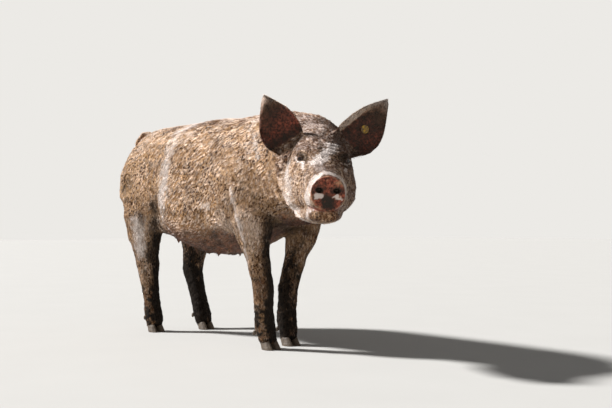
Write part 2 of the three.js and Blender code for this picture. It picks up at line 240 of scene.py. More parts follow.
def relax(points: Array, edges: Array, amount: Array, rounds: int) -> Array:
    """Smooths a surface by moving each vertex towards its neighbours' middle.

    Args:
        points: A row for each vertex.
        edges: Pairs of vertex numbers.
        amount: How much of the way each vertex goes in one round.
        rounds: How many rounds.

    Returns:
        The smoothed rows.
    """
    count = len(points)
    one, two = edges.T
    valence = np.maximum(np.bincount(one, minlength=count) + np.bincount(two, minlength=count), 1)
    columns = points.T.copy()
    for _ in range(rounds):
        for axis in range(columns.shape[0]):
            c = columns[axis]
            summed = np.bincount(one, c[two], count) + np.bincount(two, c[one], count)
            columns[axis] = c + amount * (summed / valence - c)
    return columns.T


# ---------- Meshes ----------

def read(items: bpy.types.bpy_prop_collection, key: str, width: int, kind: type) -> Array:
    """Reads one property of a mesh's vertices, edges or triangles.

    Args:
        items: The vertices, normals, edges or triangles.
        key: The property's name.
        width: How many numbers each has.
        kind: The numbers' type.

    Returns:
        A row for each.
    """
    flat = np.empty(len(items) * width, kind)
    items.foreach_get(key, flat)
    return flat.reshape(-1, width)


def mesh_points(mesh: Mesh) -> Array:
    """Reads a mesh's vertices as an array of rows."""
    return read(mesh.vertices, "co", 3, np.float32).astype(float)


def mesh_normals(mesh: Mesh) -> Array:
    """Reads a mesh's vertex normals as an array of rows."""
    return read(mesh.vertex_normals, "vector", 3, np.float32).astype(float)


def edges_of(mesh: Mesh) -> Array:
    """Reads a mesh's edges as pairs of vertex numbers."""
    return read(mesh.edges, "vertices", 2, np.int64)


def set_points(mesh: Mesh, points: Array) -> None:
    """Writes an array of rows back to a mesh's vertices."""
    mesh.vertices.foreach_set("co", points.astype(np.float32).ravel())
    mesh.update()


def store(mesh: Mesh, name: str, kind: str, numbers: Array) -> None:
    """Stores a named value on each vertex.

    Args:
        mesh: The mesh.
        name: The attribute's name.
        kind: Its type.
        numbers: A value or a row for each vertex.
    """
    key = {"FLOAT_COLOR": "color", "FLOAT_VECTOR": "vector"}.get(kind, "value")
    mesh.attributes.new(name, kind, "POINT").data.foreach_set(key, np.ravel(numbers).astype(np.float32))


def link(mesh: Mesh, name: str) -> Piece:
    """Puts a mesh in the scene as a new object at the origin.

    Args:
        mesh: The mesh.
        name: The object's name.

    Returns:
        The object.
    """
    piece = bpy.data.objects.new(name, mesh)
    bpy.context.scene.collection.objects.link(piece)
    return piece


def smooth_in(mesh: Mesh, finish: Finish) -> None:
    """Shades a mesh smooth and gives it its finish."""
    mesh.polygons.foreach_set("use_smooth", np.full(len(mesh.polygons), True))
    mesh.materials.append(finish)


def baked(piece: Piece) -> Mesh:
    """Applies an object's modifiers.

    Args:
        piece: The object, which keeps its name and loses its modifiers.

    Returns:
        Its new mesh.
    """
    graph = bpy.context.evaluated_depsgraph_get()
    graph.update()
    made = bpy.data.meshes.new_from_object(piece.evaluated_get(graph))
    piece.modifiers.clear()
    old, piece.data = piece.data, made
    bpy.data.meshes.remove(old)
    return made


def voxelled(piece: Piece, size: float) -> Mesh:
    """Makes one closed skin of a piece.

    Args:
        piece: The piece, whose shells may overlap.
        size: The grid's width in metres.

    Returns:
        Its new mesh.
    """
    remesh = piece.modifiers.new("voxels", "REMESH")
    remesh.mode = "VOXEL"
    remesh.voxel_size = size
    return baked(piece)


def welded_copy(nodes: list[str], swell: float, thin: float = 0.0) -> Mesh:
    """Joins copies of CAD nodes in one mesh, each swollen a little so that they overlap.

    Args:
        nodes: The nodes to copy.
        swell: How far each surface moves outwards, in metres.
        thin: How much further a thin ear does, so that its rim outlasts the smoothing.

    Returns:
        The joined mesh.
    """
    joined = bmesh.new()
    scratch = bpy.data.meshes.new("scratch")
    for name in nodes:
        one = bmesh.new()
        one.from_mesh(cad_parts[name].data)
        bmesh.ops.remove_doubles(one, verts=one.verts, dist=WELD)
        one.normal_update()
        grown = swell + thin * name.startswith("ear_")
        places = [v.co + v.normal * grown for v in one.verts]
        for v, place in zip(one.verts, places):
            v.co = place
        one.to_mesh(scratch)
        joined.from_mesh(scratch)
        one.free()
    joined.to_mesh(scratch)
    joined.free()
    return scratch


def middle_of(node: str) -> Array:
    """Gives the middle of a CAD node's box."""
    return np.array(sum(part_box(node), Vector()) / 2)


# The upright plane that parts her left side from her right, as a y in the row frame.
MID_Y = float(middle_of("trunk")[1])


# ---------- Frames of the body ----------

class Part(Enum):
    """The kinds of flesh and horn that a point of the hide can lie on."""

    TRUNK = 0
    NECK = 1
    HEAD = 2
    SNOUT = 3
    EAR = 4
    EYE = 5
    LEG = 6
    FOOT = 7
    HORN = 8
    TAIL = 9

    @classmethod
    def of_node(cls, node: str) -> "Part":
        """Names the kind that a CAD node belongs to.

        Args:
            node: The node's name.

        Returns:
            Its kind.
        """
        starts = {"trunk": cls.TRUNK, "neck": cls.NECK, "head": cls.HEAD, "snout": cls.SNOUT,
                  "tail": cls.TAIL, "eye": cls.EYE, "ear": cls.EAR, "foreleg": cls.LEG, "hindleg": cls.LEG}
        if "claw" in node:
            return cls.HORN
        return next((part for start, part in starts.items() if node.startswith(start)), cls.FOOT)


def on(parts: Array, *kinds: Part) -> Array:
    """Says which points lie on one of some kinds."""
    return np.isin(parts, [kind.value for kind in kinds])


def per_part(table: dict, label: str, parts: Array) -> Array:
    """Looks up one number of a table for the kind of each point."""
    return np.array([getattr(table[part], label) for part in Part], float)[parts]


class HeadFrame:
    """The head's own axes in millimetres: x to the snout, y to her left, z up."""

    EYES = np.array([139.0, 0.0, 86.0])
    DISC = np.array([326.0, 0.0, 0.0])
    # How far the slit drops towards the snout, half its length, and how far the upper and lower lid open.
    SLIT_DROP = -0.28
    SLIT = 12.0
    OPEN = (6.6, 5.2)
    # Which way the ears rise, on her left.
    EAR_RISE = (-0.15, 0.62, 0.75)

    def __init__(self) -> None:
        """Finds the axes from the middles of the two eyes and of the snout."""
        left, right, disc = (middle_of(node) for node in ("eye_left", "eye_right", "snout"))
        run, _, drop = self.DISC - self.EYES
        middle = (left + right) / 2
        aside = unit(left - right)
        down_face = disc - middle
        down_face = down_face - (down_face @ aside) * aside
        across = np.cross(down_face, aside)
        self.x = unit(run * down_face - drop * across)
        self.z = unit(np.cross(self.x, aside))
        self.y = np.cross(self.z, self.x)
        self.half_gap = float(np.linalg.norm(left - right) / 2 / MM)
        self.origin = middle - MM * (self.EYES[0] * self.x + self.EYES[2] * self.z)

    @staticmethod
    def gaze(side: int) -> Array:
        """Gives the way that an eye looks: 1 for her left eye, -1 for her right."""
        return unit(np.array([0.74, 0.64 * side, 0.10]))

    def eye(self, side: int) -> tuple[Array, Array]:
        """Places one eye in the head's own millimetres.

        Args:
            side: 1 for her left eye, -1 for her right.

        Returns:
            The eye's middle, and rows that run along its slit, up across its lids and out along its gaze.
        """
        gaze = self.gaze(side)
        slit = unit(np.cross(gaze, (0, 0, 1)) * side + np.array([0, 0, self.SLIT_DROP]))
        slit = unit(slit - (slit @ gaze) * gaze)
        lift = np.cross(slit, gaze) * side
        lift = lift if lift[2] > 0 else -lift
        return self.EYES + (0, side * self.half_gap, 0), np.stack([slit, lift, gaze])

    def from_eyes(self, head: Array) -> Array:
        """Gives how far places on the head are from the nearer eye's middle."""
        return np.minimum(*(np.linalg.norm(head - self.eye(side)[0], axis=1) for side in (1, -1)))

    def lid_ring(self, away: Array) -> Array:
        """Gives 1 at the lids' margin and more outside it, from places along the slit, across and out."""
        tall = np.where(away[:, 1] > 0, *self.OPEN)
        return np.sqrt((away[:, 0] / self.SLIT) ** 2 + (away[:, 1] / tall) ** 2)

    def inside(self, points: Array) -> Array:
        """Gives row-frame points in the head's own millimetres."""
        return (points - self.origin) @ np.stack([self.x, self.y, self.z], 1) / MM

    def outside(self, points: Array) -> Array:
        """Gives the head's own millimetres as row-frame points."""
        return self.origin + MM * points @ np.stack([self.x, self.y, self.z])

    def turned(self, vectors: Array) -> Array:
        """Turns directions from the head's axes to the row frame's."""
        return vectors @ np.stack([self.x, self.y, self.z])

    def ear_rise(self, side: int) -> Array:
        """Gives the way that an ear rises in the row frame: 1 for her left ear, -1 for her right."""
        return self.turned(np.array(self.EAR_RISE) * (1, side, 1))


HEAD = HeadFrame()


class Atlas:
    """Finds which CAD node each point of a surface belongs to."""

    def __init__(self, nodes: list[str]) -> None:
        """Joins the nodes' faces in one search tree.

        Args:
            nodes: The CAD nodes to search.
        """
        places: list = []
        faces: list = []
        self.owner: list[int] = []
        for node in nodes:
            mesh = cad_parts[node].data
            start = len(places)
            places.extend(v.co.copy() for v in mesh.vertices)
            faces.extend(tuple(start + i for i in p.vertices) for p in mesh.polygons)
            self.owner.extend([Part.of_node(node).value] * len(mesh.polygons))
        self.tree = BVHTree.FromPolygons(places, faces)

    def parts(self, points: Array) -> Array:
        """Answers with the value of Part for each point."""
        return np.array([self.owner[self.tree.find_nearest(p)[2]] for p in points.tolist()])


# ---------- Markings ----------

@dataclass(frozen=True)
class EarLeaf:
    """One ear's own axes: up to its tip, out to its lower edge, and the way that its hollow faces."""

    base: tuple
    tip: tuple
    faces: tuple
    # Half-widths in millimetres from the root to the tip: the lower edge and the upper edge.
    lower: tuple
    upper: tuple
    # How far the upper edge is rolled over at the tip, and how much more at the root, in millimetres.
    rolled: tuple
    # How pale the back and the rolled edge are.
    back: float

    def axes(self) -> Array:
        """Gives the ear's own axes in the head's.

        Returns:
            Rows that run up the ear, across it to the lower edge, and out of its hollow.
        """
        run = unit(np.array(self.tip, float) - self.base)
        across = unit(np.cross(run, self.faces) * (1 if self.tip[1] > 0 else -1))
        return np.stack([run, across, unit(np.array(self.faces))])

    def inside(self, head: Array) -> tuple[Array, Array, Array]:
        """Places points on the ear.

        Args:
            head: Places in the head's own millimetres.

        Returns:
            The share of the way to the tip, the distance across, and the distance in from the rim.
        """
        length = np.linalg.norm(np.array(self.tip) - self.base)
        away = (head - self.base) @ self.axes().T
        share = away[:, 0] / length
        rows = np.linspace(0, 1, len(self.lower))
        lower, upper = (np.interp(share, rows, edge) for edge in (self.lower, self.upper))
        edge = np.where(away[:, 1] > 0, lower, upper)
        return share, away[:, 1], np.minimum(edge - np.abs(away[:, 1]), length * (1 - share))


EARS = (
    # Her left ear's back and rolled edge are paler than her right's: tan hair, and partly painted light on
    # the rolled edge, which the key lamp leaves in shade.
    EarLeaf((12, 77, 151), (-22, 226, 289), (0.95, 0.12, -0.2),
            (82, 104, 102, 83, 49, 6), (66, 62, 53, 43, 25, 5), (10, 24), 0.45),
    EarLeaf((12, -95, 138), (-10, -196, 280), (0.93, -0.3, -0.05),
            (79, 96, 90, 70, 39, 5), (66, 69, 64, 51, 28, 5), (2, 5), 0.22))


class Ground:
    """A set of points on the hide, with what the markings need to know of them."""

    def __init__(self, points: Array, normals: Array, parts: Array) -> None:
        """Works out the noises and masks.

        Args:
            points: Places in the row frame, in metres.
            normals: The hide's own directions there.
            parts: The value of Part of each point.
        """
        self.points, self.normals, self.parts = points, normals, parts
        self.head = HEAD.inside(points)
        self.wide = lattice_noise(points, 0.11, 3)
        self.fine = lattice_noise(points, 0.007, 5)
        self.grit = 0.6 * lattice_noise(points, 0.020, 4) + 0.6 * self.fine
        # The height over the floor, ragged so that no edge of mud is level.
        self.level = points[:, 2] + 0.04 * self.wide
        self.on_head = on(parts, Part.HEAD, Part.EYE)
        self.on_limb = on(parts, Part.LEG, Part.FOOT, Part.HORN)
        self.on_body = ~self.on_head & ~on(parts, Part.EAR, Part.SNOUT)
        self.on_left = points[:, 1] > MID_Y
        self.chin = step(-58, -70, self.head[:, 2]) * step(200, 250, self.head[:, 0])
        # The low body where it faces down: bare red skin, and darker there by painted shade.
        under = step(0.30, 0.85, -normals[:, 2] + 0.25 * self.grit) * step(0.53, 0.43, self.level)
        self.under = np.where(self.on_body & ~self.on_limb, under, 0.0)


@dataclass(frozen=True)
class Markings:
    """Where the mud has rubbed off, where it is a dark crust and where the skin is bare and red, with
    painted shade and painted highlights laid into the same marks.
    """

    # Pale lines: half-width in metres, strength, and corners in the row frame.
    pale_body: tuple = (
        (0.040, 0.55, ((-0.20, 0.0, 0.868), (-0.285, -0.045, 0.850), (-0.285, -0.095, 0.815),
                       (-0.275, -0.128, 0.780))),
        (0.040, 0.5, ((-0.275, -0.128, 0.780), (-0.287, -0.147, 0.736), (-0.282, -0.159, 0.703))),
        (0.034, 0.8, ((-0.284, -0.160, 0.695), (-0.286, -0.166, 0.640), (-0.292, -0.168, 0.600),
                      (-0.318, -0.162, 0.546), (-0.338, -0.155, 0.515))),
        (0.009, 0.9, ((-0.338, -0.155, 0.515), (-0.360, -0.135, 0.475), (-0.352, -0.118, 0.440),
                      (-0.332, -0.094, 0.403))),
        # Partly a painted highlight: the pale line along the top of the back, where the light grazes it.
        (0.013, 0.6, ((-0.24, -0.01, 0.87), (-0.10, -0.01, 0.87), (0.10, -0.01, 0.86))),
        # Partly a painted highlight: the pale patch on the outer thigh.
        (0.038, 1.0, ((-0.535, -0.148, 0.455), (-0.545, -0.140, 0.400), (-0.560, -0.128, 0.345))),
        # Partly a painted highlight: the pale ridge behind the elbow and down the foreleg's back edge.
        (0.011, 0.8, ((0.181, -0.164, 0.570), (0.184, -0.160, 0.550), (0.182, -0.150, 0.510),
                      (0.186, -0.148, 0.485), (0.206, -0.148, 0.460), (0.211, -0.138, 0.420),
                      (0.217, -0.130, 0.382), (0.206, -0.114, 0.345), (0.196, -0.098, 0.310))),
        (0.011, 0.7, ((0.270, -0.120, 0.760), (0.291, -0.129, 0.721), (0.306, -0.131, 0.687))),
        (0.016, 0.6, ((-0.020, -0.157, 0.520), (0.015, -0.157, 0.520))),
        # Her left side copies the right's stripe, elbow ridge and thigh patch, with the same painted
        # highlights.
        (0.022, 0.8, ((-0.26, 0.10, 0.862), (-0.33, 0.22, 0.74), (-0.35, 0.25, 0.62), (-0.33, 0.23, 0.50))),
        (0.010, 0.9, ((0.17, 0.24, 0.56), (0.18, 0.23, 0.46), (0.19, 0.20, 0.36))),
        (0.028, 0.9, ((-0.55, 0.23, 0.50), (-0.53, 0.21, 0.38))),
    )
    # Painted shade, in the same way: the hollows before both thighs and the chest under the head.
    painted_shade_lines: tuple = (
        (0.024, 0.85, ((-0.420, -0.146, 0.529), (-0.443, -0.129, 0.488), (-0.496, -0.100, 0.427),
                       (-0.524, -0.089, 0.364), (-0.544, -0.083, 0.308))),
        (0.016, 0.55, ((-0.516, -0.150, 0.495), (-0.516, -0.146, 0.455))),
        (0.050, 0.75, ((0.290, -0.030, 0.450), (0.244, 0.012, 0.442), (0.200, 0.080, 0.430))),
        (0.024, 0.7, ((-0.42, 0.22, 0.529), (-0.50, 0.17, 0.427), (-0.54, 0.16, 0.308))),
    )
    # Pale lines on the head: half-width, strength, and corners in the head's own millimetres.
    pale_head: tuple = (
        (19, 0.95, ((119, 39, 131), (152, 11, 113), (183, -12, 92), (190, -34, 82))),
        (13, 0.40, ((190, -30, 80), (230, -18, 68), (272, -10, 60))),
        (25, 0.92, ((300, -42, 38), (280, -57, 12), (268, -61, -14), (258, -58, -34), (250, -52, -46))),
        (15, 0.95, ((298, -40, 42), (290, -16, 58), (288, 10, 62), (296, 36, 46))),
        (20, 0.85, ((290, 40, 50), (250, 62, 25), (226, 70, 5), (226, 70, -30), (250, 58, -50))),
        (14, 0.8, ((255, -58, -36), (235, -50, -66), (215, -42, -92))),
        # Partly a painted highlight: the pale edge of the jowl on her right, where the hair catches the
        # light.
        (27, 0.72, ((80, -112, 45), (100, -112, 20), (122, -107, -5), (120, -102, -43), (98, -88, -86),
                    (140, -62, -106))),
        (13, 0.7, ((58, 116, 30), (90, 119, -10), (104, 104, -84))),
        (5.5, 1.0, ((150, -84, 78), (166, -71, 74), (184, -66, 59))),
        (5.5, 0.8, ((150, 86, 78), (168, 73, 70), (186, 67, 58))),
        (8, 0.4, ((204, -64, 40), (228, -62, 8))),
    )
    # The crust's hold on her left hind leg over what height alone gives: partly wet mud and partly painted
    # shade under the belly.
    wet_and_shaded_leg: float = 0.30
    # On her right legs painted shade darkens the side that faces this way, away from the key lamp.
    shaded_side: tuple = (0.616, 0.788, 0.0)
    # The disc's nostrils in the head's own millimetres: their sideways places, height, and half-widths.
    nostrils: tuple = (-29.5, 24.5)
    nostril_height: float = 9.0
    nostril_half: tuple = (11.5, 8.0)

    @staticmethod
    def _lines(points: Array, lines: tuple, rough: Array) -> Array:
        """How strongly a set of lines marks each point.

        Args:
            points: Places in the unit and axes of the lines.
            lines: Half-width, strength and corners of each.
            rough: Noise that frays the edges.

        Returns:
            One number from 0 to 1 for each point.
        """
        mark = np.zeros(len(points))
        for half, strength, path in lines:
            away = path_distance(points, path) / half + 0.85 * rough
            mark = np.maximum(mark, strength * step(1.35, 0.45, away))
        return mark

    def weights(self, ground: Ground) -> Array:
        """Works out the markings on a set of points.

        Args:
            ground: The points.

        Returns:
            Rows of pale, crust, bare and dapple, each from 0 to 1.
        """
        head, on_head = ground.head, ground.on_head
        pale, crust = self._pale(ground), self._crust(ground)
        lips = step(9, 3, np.abs(head[:, 2] + 54 + 2 * ground.fine)) * step(215, 250, head[:, 0])
        bare = np.where(on_head, 0.8 * lips, 0.75 * ground.under)
        # The second holds the lids' dark margins and the painted shade round the eyes.
        lid, socket = self._lids(ground)
        pale = np.where(on_head, np.maximum(pale * (1 - socket), lid), pale)
        crust = np.where(on_head, np.maximum(crust, socket), crust)
        marks = np.stack([pale * (1 - 0.85 * np.clip(crust, 0, 1)), crust, bare, self._dapple(ground)], 1)
        for leaf in EARS:
            mine = on(ground.parts, Part.EAR) & (head[:, 1] * leaf.tip[1] > 0)
            marks = np.where(mine[:, None], self._ear(leaf, ground), marks)
        disc = on_head & (head[:, 0] > 262) & (np.hypot(head[:, 1], head[:, 2]) < 38)
        disc |= on(ground.parts, Part.SNOUT)
        marks = np.where(disc[:, None], self._disc(head, ground.grit), marks)
        return np.clip(marks, 0, 1)

    def _pale(self, ground: Ground) -> Array:
        """Works out how clean of mud the hide is, with a few painted highlights among its lines, apart from
        the lids, ears and disc.

        Args:
            ground: The points.

        Returns:
            One number from 0 to 1 for each.
        """
        rubbed = 0.35 * step(0.45, 1.0, ground.wide + 0.5 * ground.grit)
        dusty = (0.12 + 0.10 * ground.wide + 0.25 * ground.fine) * (1 - ground.chin)
        on_face = np.maximum(self._lines(ground.head, self.pale_head, ground.grit), dusty)
        on_body = np.maximum(self._lines(ground.points, self.pale_body, ground.grit), rubbed)
        return np.where(ground.on_head, on_face, np.where(ground.on_body, on_body, 0.0))

    def _crust(self, ground: Ground) -> Array:
        """Works out how dark with wet mud and painted shade the hide is, apart from the lids, ears and disc.

        Args:
            ground: The points.

        Returns:
            One number for each, 0 for dry.
        """
        level, normals = ground.level, ground.normals
        # On her far legs the crust stands higher, darkens their inner faces and darkens the left hind leg
        # more: partly wet mud and partly painted shade.
        inner = step(0.1, 0.7, -normals[:, 1])
        shaded = ground.on_left & (ground.points[:, 0] < -0.2)
        far = step(0.50, 0.10, level) + 0.35 * inner * step(0.6, 0.3, level) + self.wet_and_shaded_leg * shaded
        # Painted shade on the side of her right legs that faces away from the key lamp.
        shaded_side = step(0.05, 0.70, normals @ self.shaded_side)
        near = 0.72 * step(0.40, 0.08, level) + shaded_side * step(0.62, 0.46, level)
        hold = np.where(ground.on_left, far, near)
        crust = np.where(ground.on_limb, step(0.15, 0.70, 0.85 * hold + 0.75 * ground.grit - 0.10), 0.0)
        # Painted shade on the body: the hollows before the thighs and the chest under the head.
        shade_marks = self._lines(ground.points, self.painted_shade_lines, ground.grit)
        crust = np.maximum(crust, np.where(ground.on_body, shade_marks, 0.0))
        # Painted shade: the belly's underside is darker where it faces down.
        return np.maximum(crust, 0.55 * ground.under * (1 + ground.grit))

    @staticmethod
    def _dapple(ground: Ground) -> Array:
        """Works out how light the dry mud is, with painted shade on the forehead, poll, far side of the face
        and surfaces that face up, and painted light on the rump.

        Args:
            ground: The points.

        Returns:
            One number for each, about 0 to 1.
        """
        head, points = ground.head, ground.points
        # Painted shade: the forehead where the right ear's shadow falls, the far (left) side of the face and
        # the poll are darker.
        face = step(60, 130, head[:, 2]) * step(20, 60, head[:, 0]) * step(170, 130, head[:, 0])
        left = step(15, 70, head[:, 1])
        poll = step(120, 150, head[:, 2]) * step(62, 34, head[:, 0])
        darker = 0.19 + 0.17 * face + 0.10 * ground.chin + 0.26 * left + 0.22 * poll
        dapple = 0.60 + 0.16 * ground.wide + 0.40 * ground.grit - np.where(ground.on_head, darker, 0.0)
        # Painted shade: surfaces that face up are darker, holding back the key lamp on the back and head.
        dapple = dapple - 0.34 * step(0.55, 0.92, ground.normals[:, 2])
        # Painted light: the rump is lighter.
        rump = ground.on_body * step(-0.28, -0.44, points[:, 0]) * step(0.50, 0.60, points[:, 2])
        return dapple + 0.26 * rump - 0.14 * ground.on_limb * step(0.60, 0.48, points[:, 2])

    @staticmethod
    def _lids(ground: Ground) -> tuple[Array, Array]:
        """Marks the lids: dark margins, painted shade in the fold above the lid and round the socket, and
        pale skin below the eye.

        Args:
            ground: The points.

        Returns:
            How pale and how dark each point is.
        """
        pale, dark = np.zeros((2, len(ground.head)))
        for side in (1, -1):
            eye, axes = HEAD.eye(side)
            away = (ground.head - eye) @ axes.T
            ring = HEAD.lid_ring(away) + 0.12 * ground.grit
            near = (np.linalg.norm(away, axis=1) < 40) & (away[:, 2] > -4)
            over = away[:, 1] > 0
            skin = np.where(over, 0.0, 0.75 * step(1.3, 1.6, ring) * step(2.9, 2.1, ring))
            # The margin's second term is painted shade in the fold above the upper lid.
            margin = step(1.55, 1.20, ring) + over * bell((ring - 2.1) / 0.35)
            # Painted shade: all round her left eye, and above her right eye under the brow.
            shadow = 0.75 * step(5.4, 3.4, ring) if side > 0 else 0.65 * step(4.2, 2.6, ring) * over
            pale = np.where(near, np.maximum(pale, skin), pale)
            dark = np.where(near, np.maximum(dark, np.maximum(0.9 * margin, shadow * (1 - skin))), dark)
        return pale, np.clip(dark, 0, 1)

    @staticmethod
    def _ear(leaf: EarLeaf, ground: Ground) -> Array:
        """Marks one ear: a reddish hollow darkened by painted shade, with red patches painted where light
        shines through the thin skin, a pale rim, tan behind and over the rolled edge.

        Args:
            leaf: The ear.
            ground: The points.

        Returns:
            Rows of pale, crust, bare and dapple.
        """
        grit = ground.grit
        share, across, rim = leaf.inside(ground.head)
        hollow = step(-0.05, 0.25, ground.normals @ HEAD.turned(leaf.axes()[2]))
        band = np.where(across < 0, leaf.rolled[0] + leaf.rolled[1] * step(0.95, 0.1, share), 3.0)
        inner = hollow * step(0.0, 3.5, rim - band + 2.5 * grit)
        edge = step(5.0, 2.0, rim + 1.2 * grit)
        pale = (1 - inner) * np.clip(leaf.back + 0.5 * edge + 0.3 * grit, 0, 1)
        # Painted light: red patches where light shines through the ear's thin skin, where the crust gives
        # way to bare red.
        lit_through = step(0.12, 0.28, share) * step(0.80, 0.50, share) * step(-0.4, 0.5, ground.wide + 0.8 * grit)
        # Painted shade: the hollow is dark.
        crust = inner * np.clip(0.85 + 0.4 * grit - 0.8 * lit_through, 0, 1)
        return np.stack([pale, crust, inner * (1 - 0.6 * step(0.55, 0.9, share)), 0.72 + 0.3 * grit], 1)

    def _disc(self, head: Array, grit: Array) -> Array:
        """Marks the snout's disc: red bare skin, darker below with mud and painted shade, dark nostrils of
        painted shade, pale mud with a painted wet sheen under each nostril, and painted highlights flecking
        its top.

        Args:
            head: Places in the head's own millimetres.
            grit: Fine noise.

        Returns:
            Rows of pale, crust, bare and dapple.
        """
        across, high = head[:, 1], head[:, 2]
        wide, tall = self.nostril_half
        pale = np.zeros(len(head))
        hole = np.full(len(head), 9.0)
        for centre in self.nostrils:
            # Painted reflection with some mud: the pale wet patch under each nostril.
            mud_and_sheen = np.hypot((across - 1.12 * centre) / 16, (high + 9) / 11)
            pale = np.maximum(pale, step(1.2, 0.7, mud_and_sheen + 0.9 * grit))
            hole = np.minimum(hole, np.hypot((across - centre) / wide, (high - self.nostril_height) / tall))
        out = np.hypot(across, high) + 6 * grit
        # The lower half is darker: partly mud and partly painted shade.
        low = step(14, -10, high + 12 * grit) * step(58, 44, out)
        low = low * step(34, 18, np.abs(across + 2) + 12 * grit)
        # Painted shade: the nostrils' openings are dark, with a darker ring round them.
        dark = np.maximum(step(1.5, 1.0, hole), low * np.clip(0.9 + 0.5 * grit, 0, 1))
        dark = np.maximum(dark, 0.6 * step(2.6, 1.4, hole + 0.4 * grit))
        pale = pale * step(1.0, 1.25, hole)
        # Painted highlight: light flecks on the disc's top; the rim is also lighter.
        light = 0.35 * step(14, 34, high) * step(-0.6, 0.6, grit) + 0.25 * step(46, 56, out)
        bare = np.clip(1 - 0.95 * pale - light, 0, 1)
        return np.stack([pale, dark * (1 - 0.95 * pale), bare, 0.5 + grit], 1)


MARKINGS = Markings()


# ---------- Finishes ----------

@dataclass(frozen=True)
class Palette:
    """The colours that hide and coat share, as sRGB hex."""

    mud: str = "f7cba0"
    mud_dark: str = "765238"
    pale: str = "f3e2d8"
    crust: str = "31271e"
    bare: str = "b5614a"
    bare_dark: str = "45251a"
    # What the painted shadow between clumps of bristle leaves of the colour under it.
    clump_shadow: str = "593d29"


PALETTE = Palette()


@dataclass(frozen=True)
class Streaks:
    """Dark commas of painted shadow between clumps of matted bristle, longer along the hair than across it.
    """

    # How steeply the hair runs down and back, in radians, and the strands' spacing and stretch.
    slope: float
    apart_mm: float
    drawn: float
    # Where the noise turns from clear hide to painted shadow.
    edge: tuple = (0.49, 0.385)

    def dark(self, tree: Tree) -> Socket:
        """Adds the pattern to a material.

        Args:
            tree: The material's tree.

        Returns:
            A socket that is 1 in a comma and 0 between them.
        """
        place = place_on(tree)
        apart = self.apart_mm * MM
        shake = noise(tree, place, 0.4 / apart).outputs[1]
        moved = add_node(tree, "ShaderNodeVectorMath", {0: shake, 1: (apart,) * 3, 2: place},
                         operation="MULTIPLY_ADD")
        turned = add_node(tree, "ShaderNodeMapping", {
            "Vector": moved.outputs[0], "Rotation": (0.0, -self.slope, 0.0),
            "Scale": (self.drawn, 1.0, 1.0)}, vector_type="TEXTURE")
        return ramp(tree, noise(tree, turned.outputs[0], 1 / apart, 1.0, 0.6).outputs[0], *self.edge)


FLANK_STREAKS = Streaks(0.735, 6.3, 1.9)
LEG_STREAKS = Streaks(1.45, 7.0, 1.5)
FACE_STREAKS = Streaks(0.5, 5.5, 1.5)


def streaked(tree: Tree, colour: Socket, pale: Socket, bare: Socket) -> Socket:
    """Darkens a colour with painted shadow in the streaks of the flank, legs or face, less where the hair is
    clean.

    Args:
        tree: The material's tree.
        colour: The colour to darken.
        pale: How clean the hair is.
        bare: How bare the skin is.

    Returns:
        The streaked colour's socket.
    """
    place = place_on(tree)
    split = add_node(tree, "ShaderNodeSeparateXYZ", {0: place})
    on_leg = ramp(tree, split.outputs[2], 0.46, 0.40)
    on_face = ramp(tree, split.outputs[0], 0.47, 0.53)
    every = FLANK_STREAKS.dark(tree)
    for share, streaks in ((on_leg, LEG_STREAKS), (on_face, FACE_STREAKS)):
        every = add_node(tree, "ShaderNodeMix", {0: share, 2: every, 3: streaks.dark(tree)}).outputs[0]
    hold = ramp(tree, calc(tree, "MAXIMUM", pale, bare), first=1.0, last=0.15)
    thick = ramp(tree, noise(tree, place, 11.0, 1.0).outputs[0], 0.38, 0.56, 0.5, 1.0)
    amount = calc(tree, "MULTIPLY", every, calc(tree, "MULTIPLY", thick, hold))
    return mix(tree, amount, colour, linear(PALETTE.clump_shadow), "MULTIPLY")


def marked_colour(tree: Tree) -> Socket:
    """Mixes the shared colours by the markings that hide and coat both carry.

    Args:
        tree: The material's tree.

    Returns:
        The mixed colour's socket.
    """
    marks = add_node(tree, "ShaderNodeAttribute", attribute_name="markings")
    pale, crust, bare = add_node(tree, "ShaderNodeSeparateColor", {0: marks.outputs["Color"]}).outputs
    blotch = noise(tree, place_on(tree), 140.0, 4.0, 0.6).outputs[0]
    lightness = ramp(tree, calc(tree, "ADD", blotch, marks.outputs["Alpha"]), 0.60, 1.35)
    red = mix(tree, ramp(tree, blotch, 0.40, 0.62), linear(PALETTE.bare_dark), linear(PALETTE.bare))
    colour = mix(tree, lightness, linear(PALETTE.mud_dark), linear(PALETTE.mud))
    for amount, over in ((pale, linear(PALETTE.pale)), (bare, red), (crust, linear(PALETTE.crust))):
        colour = mix(tree, amount, colour, over)
    return streaked(tree, colour, pale, bare)


def new_material(name: str) -> tuple[Finish, Tree, Node]:
    """Starts a material with one Principled shader.

    Args:
        name: The material's plain name.

    Returns:
        The material, its tree and its shader.
    """
    material = bpy.data.materials.new(name)
    material.use_nodes = True
    tree = material.node_tree
    tree.nodes.clear()
    shader = add_node(tree, "ShaderNodeBsdfPrincipled")
    add_node(tree, "ShaderNodeOutputMaterial", {"Surface": shader.outputs[0]})
    return material, tree, shader


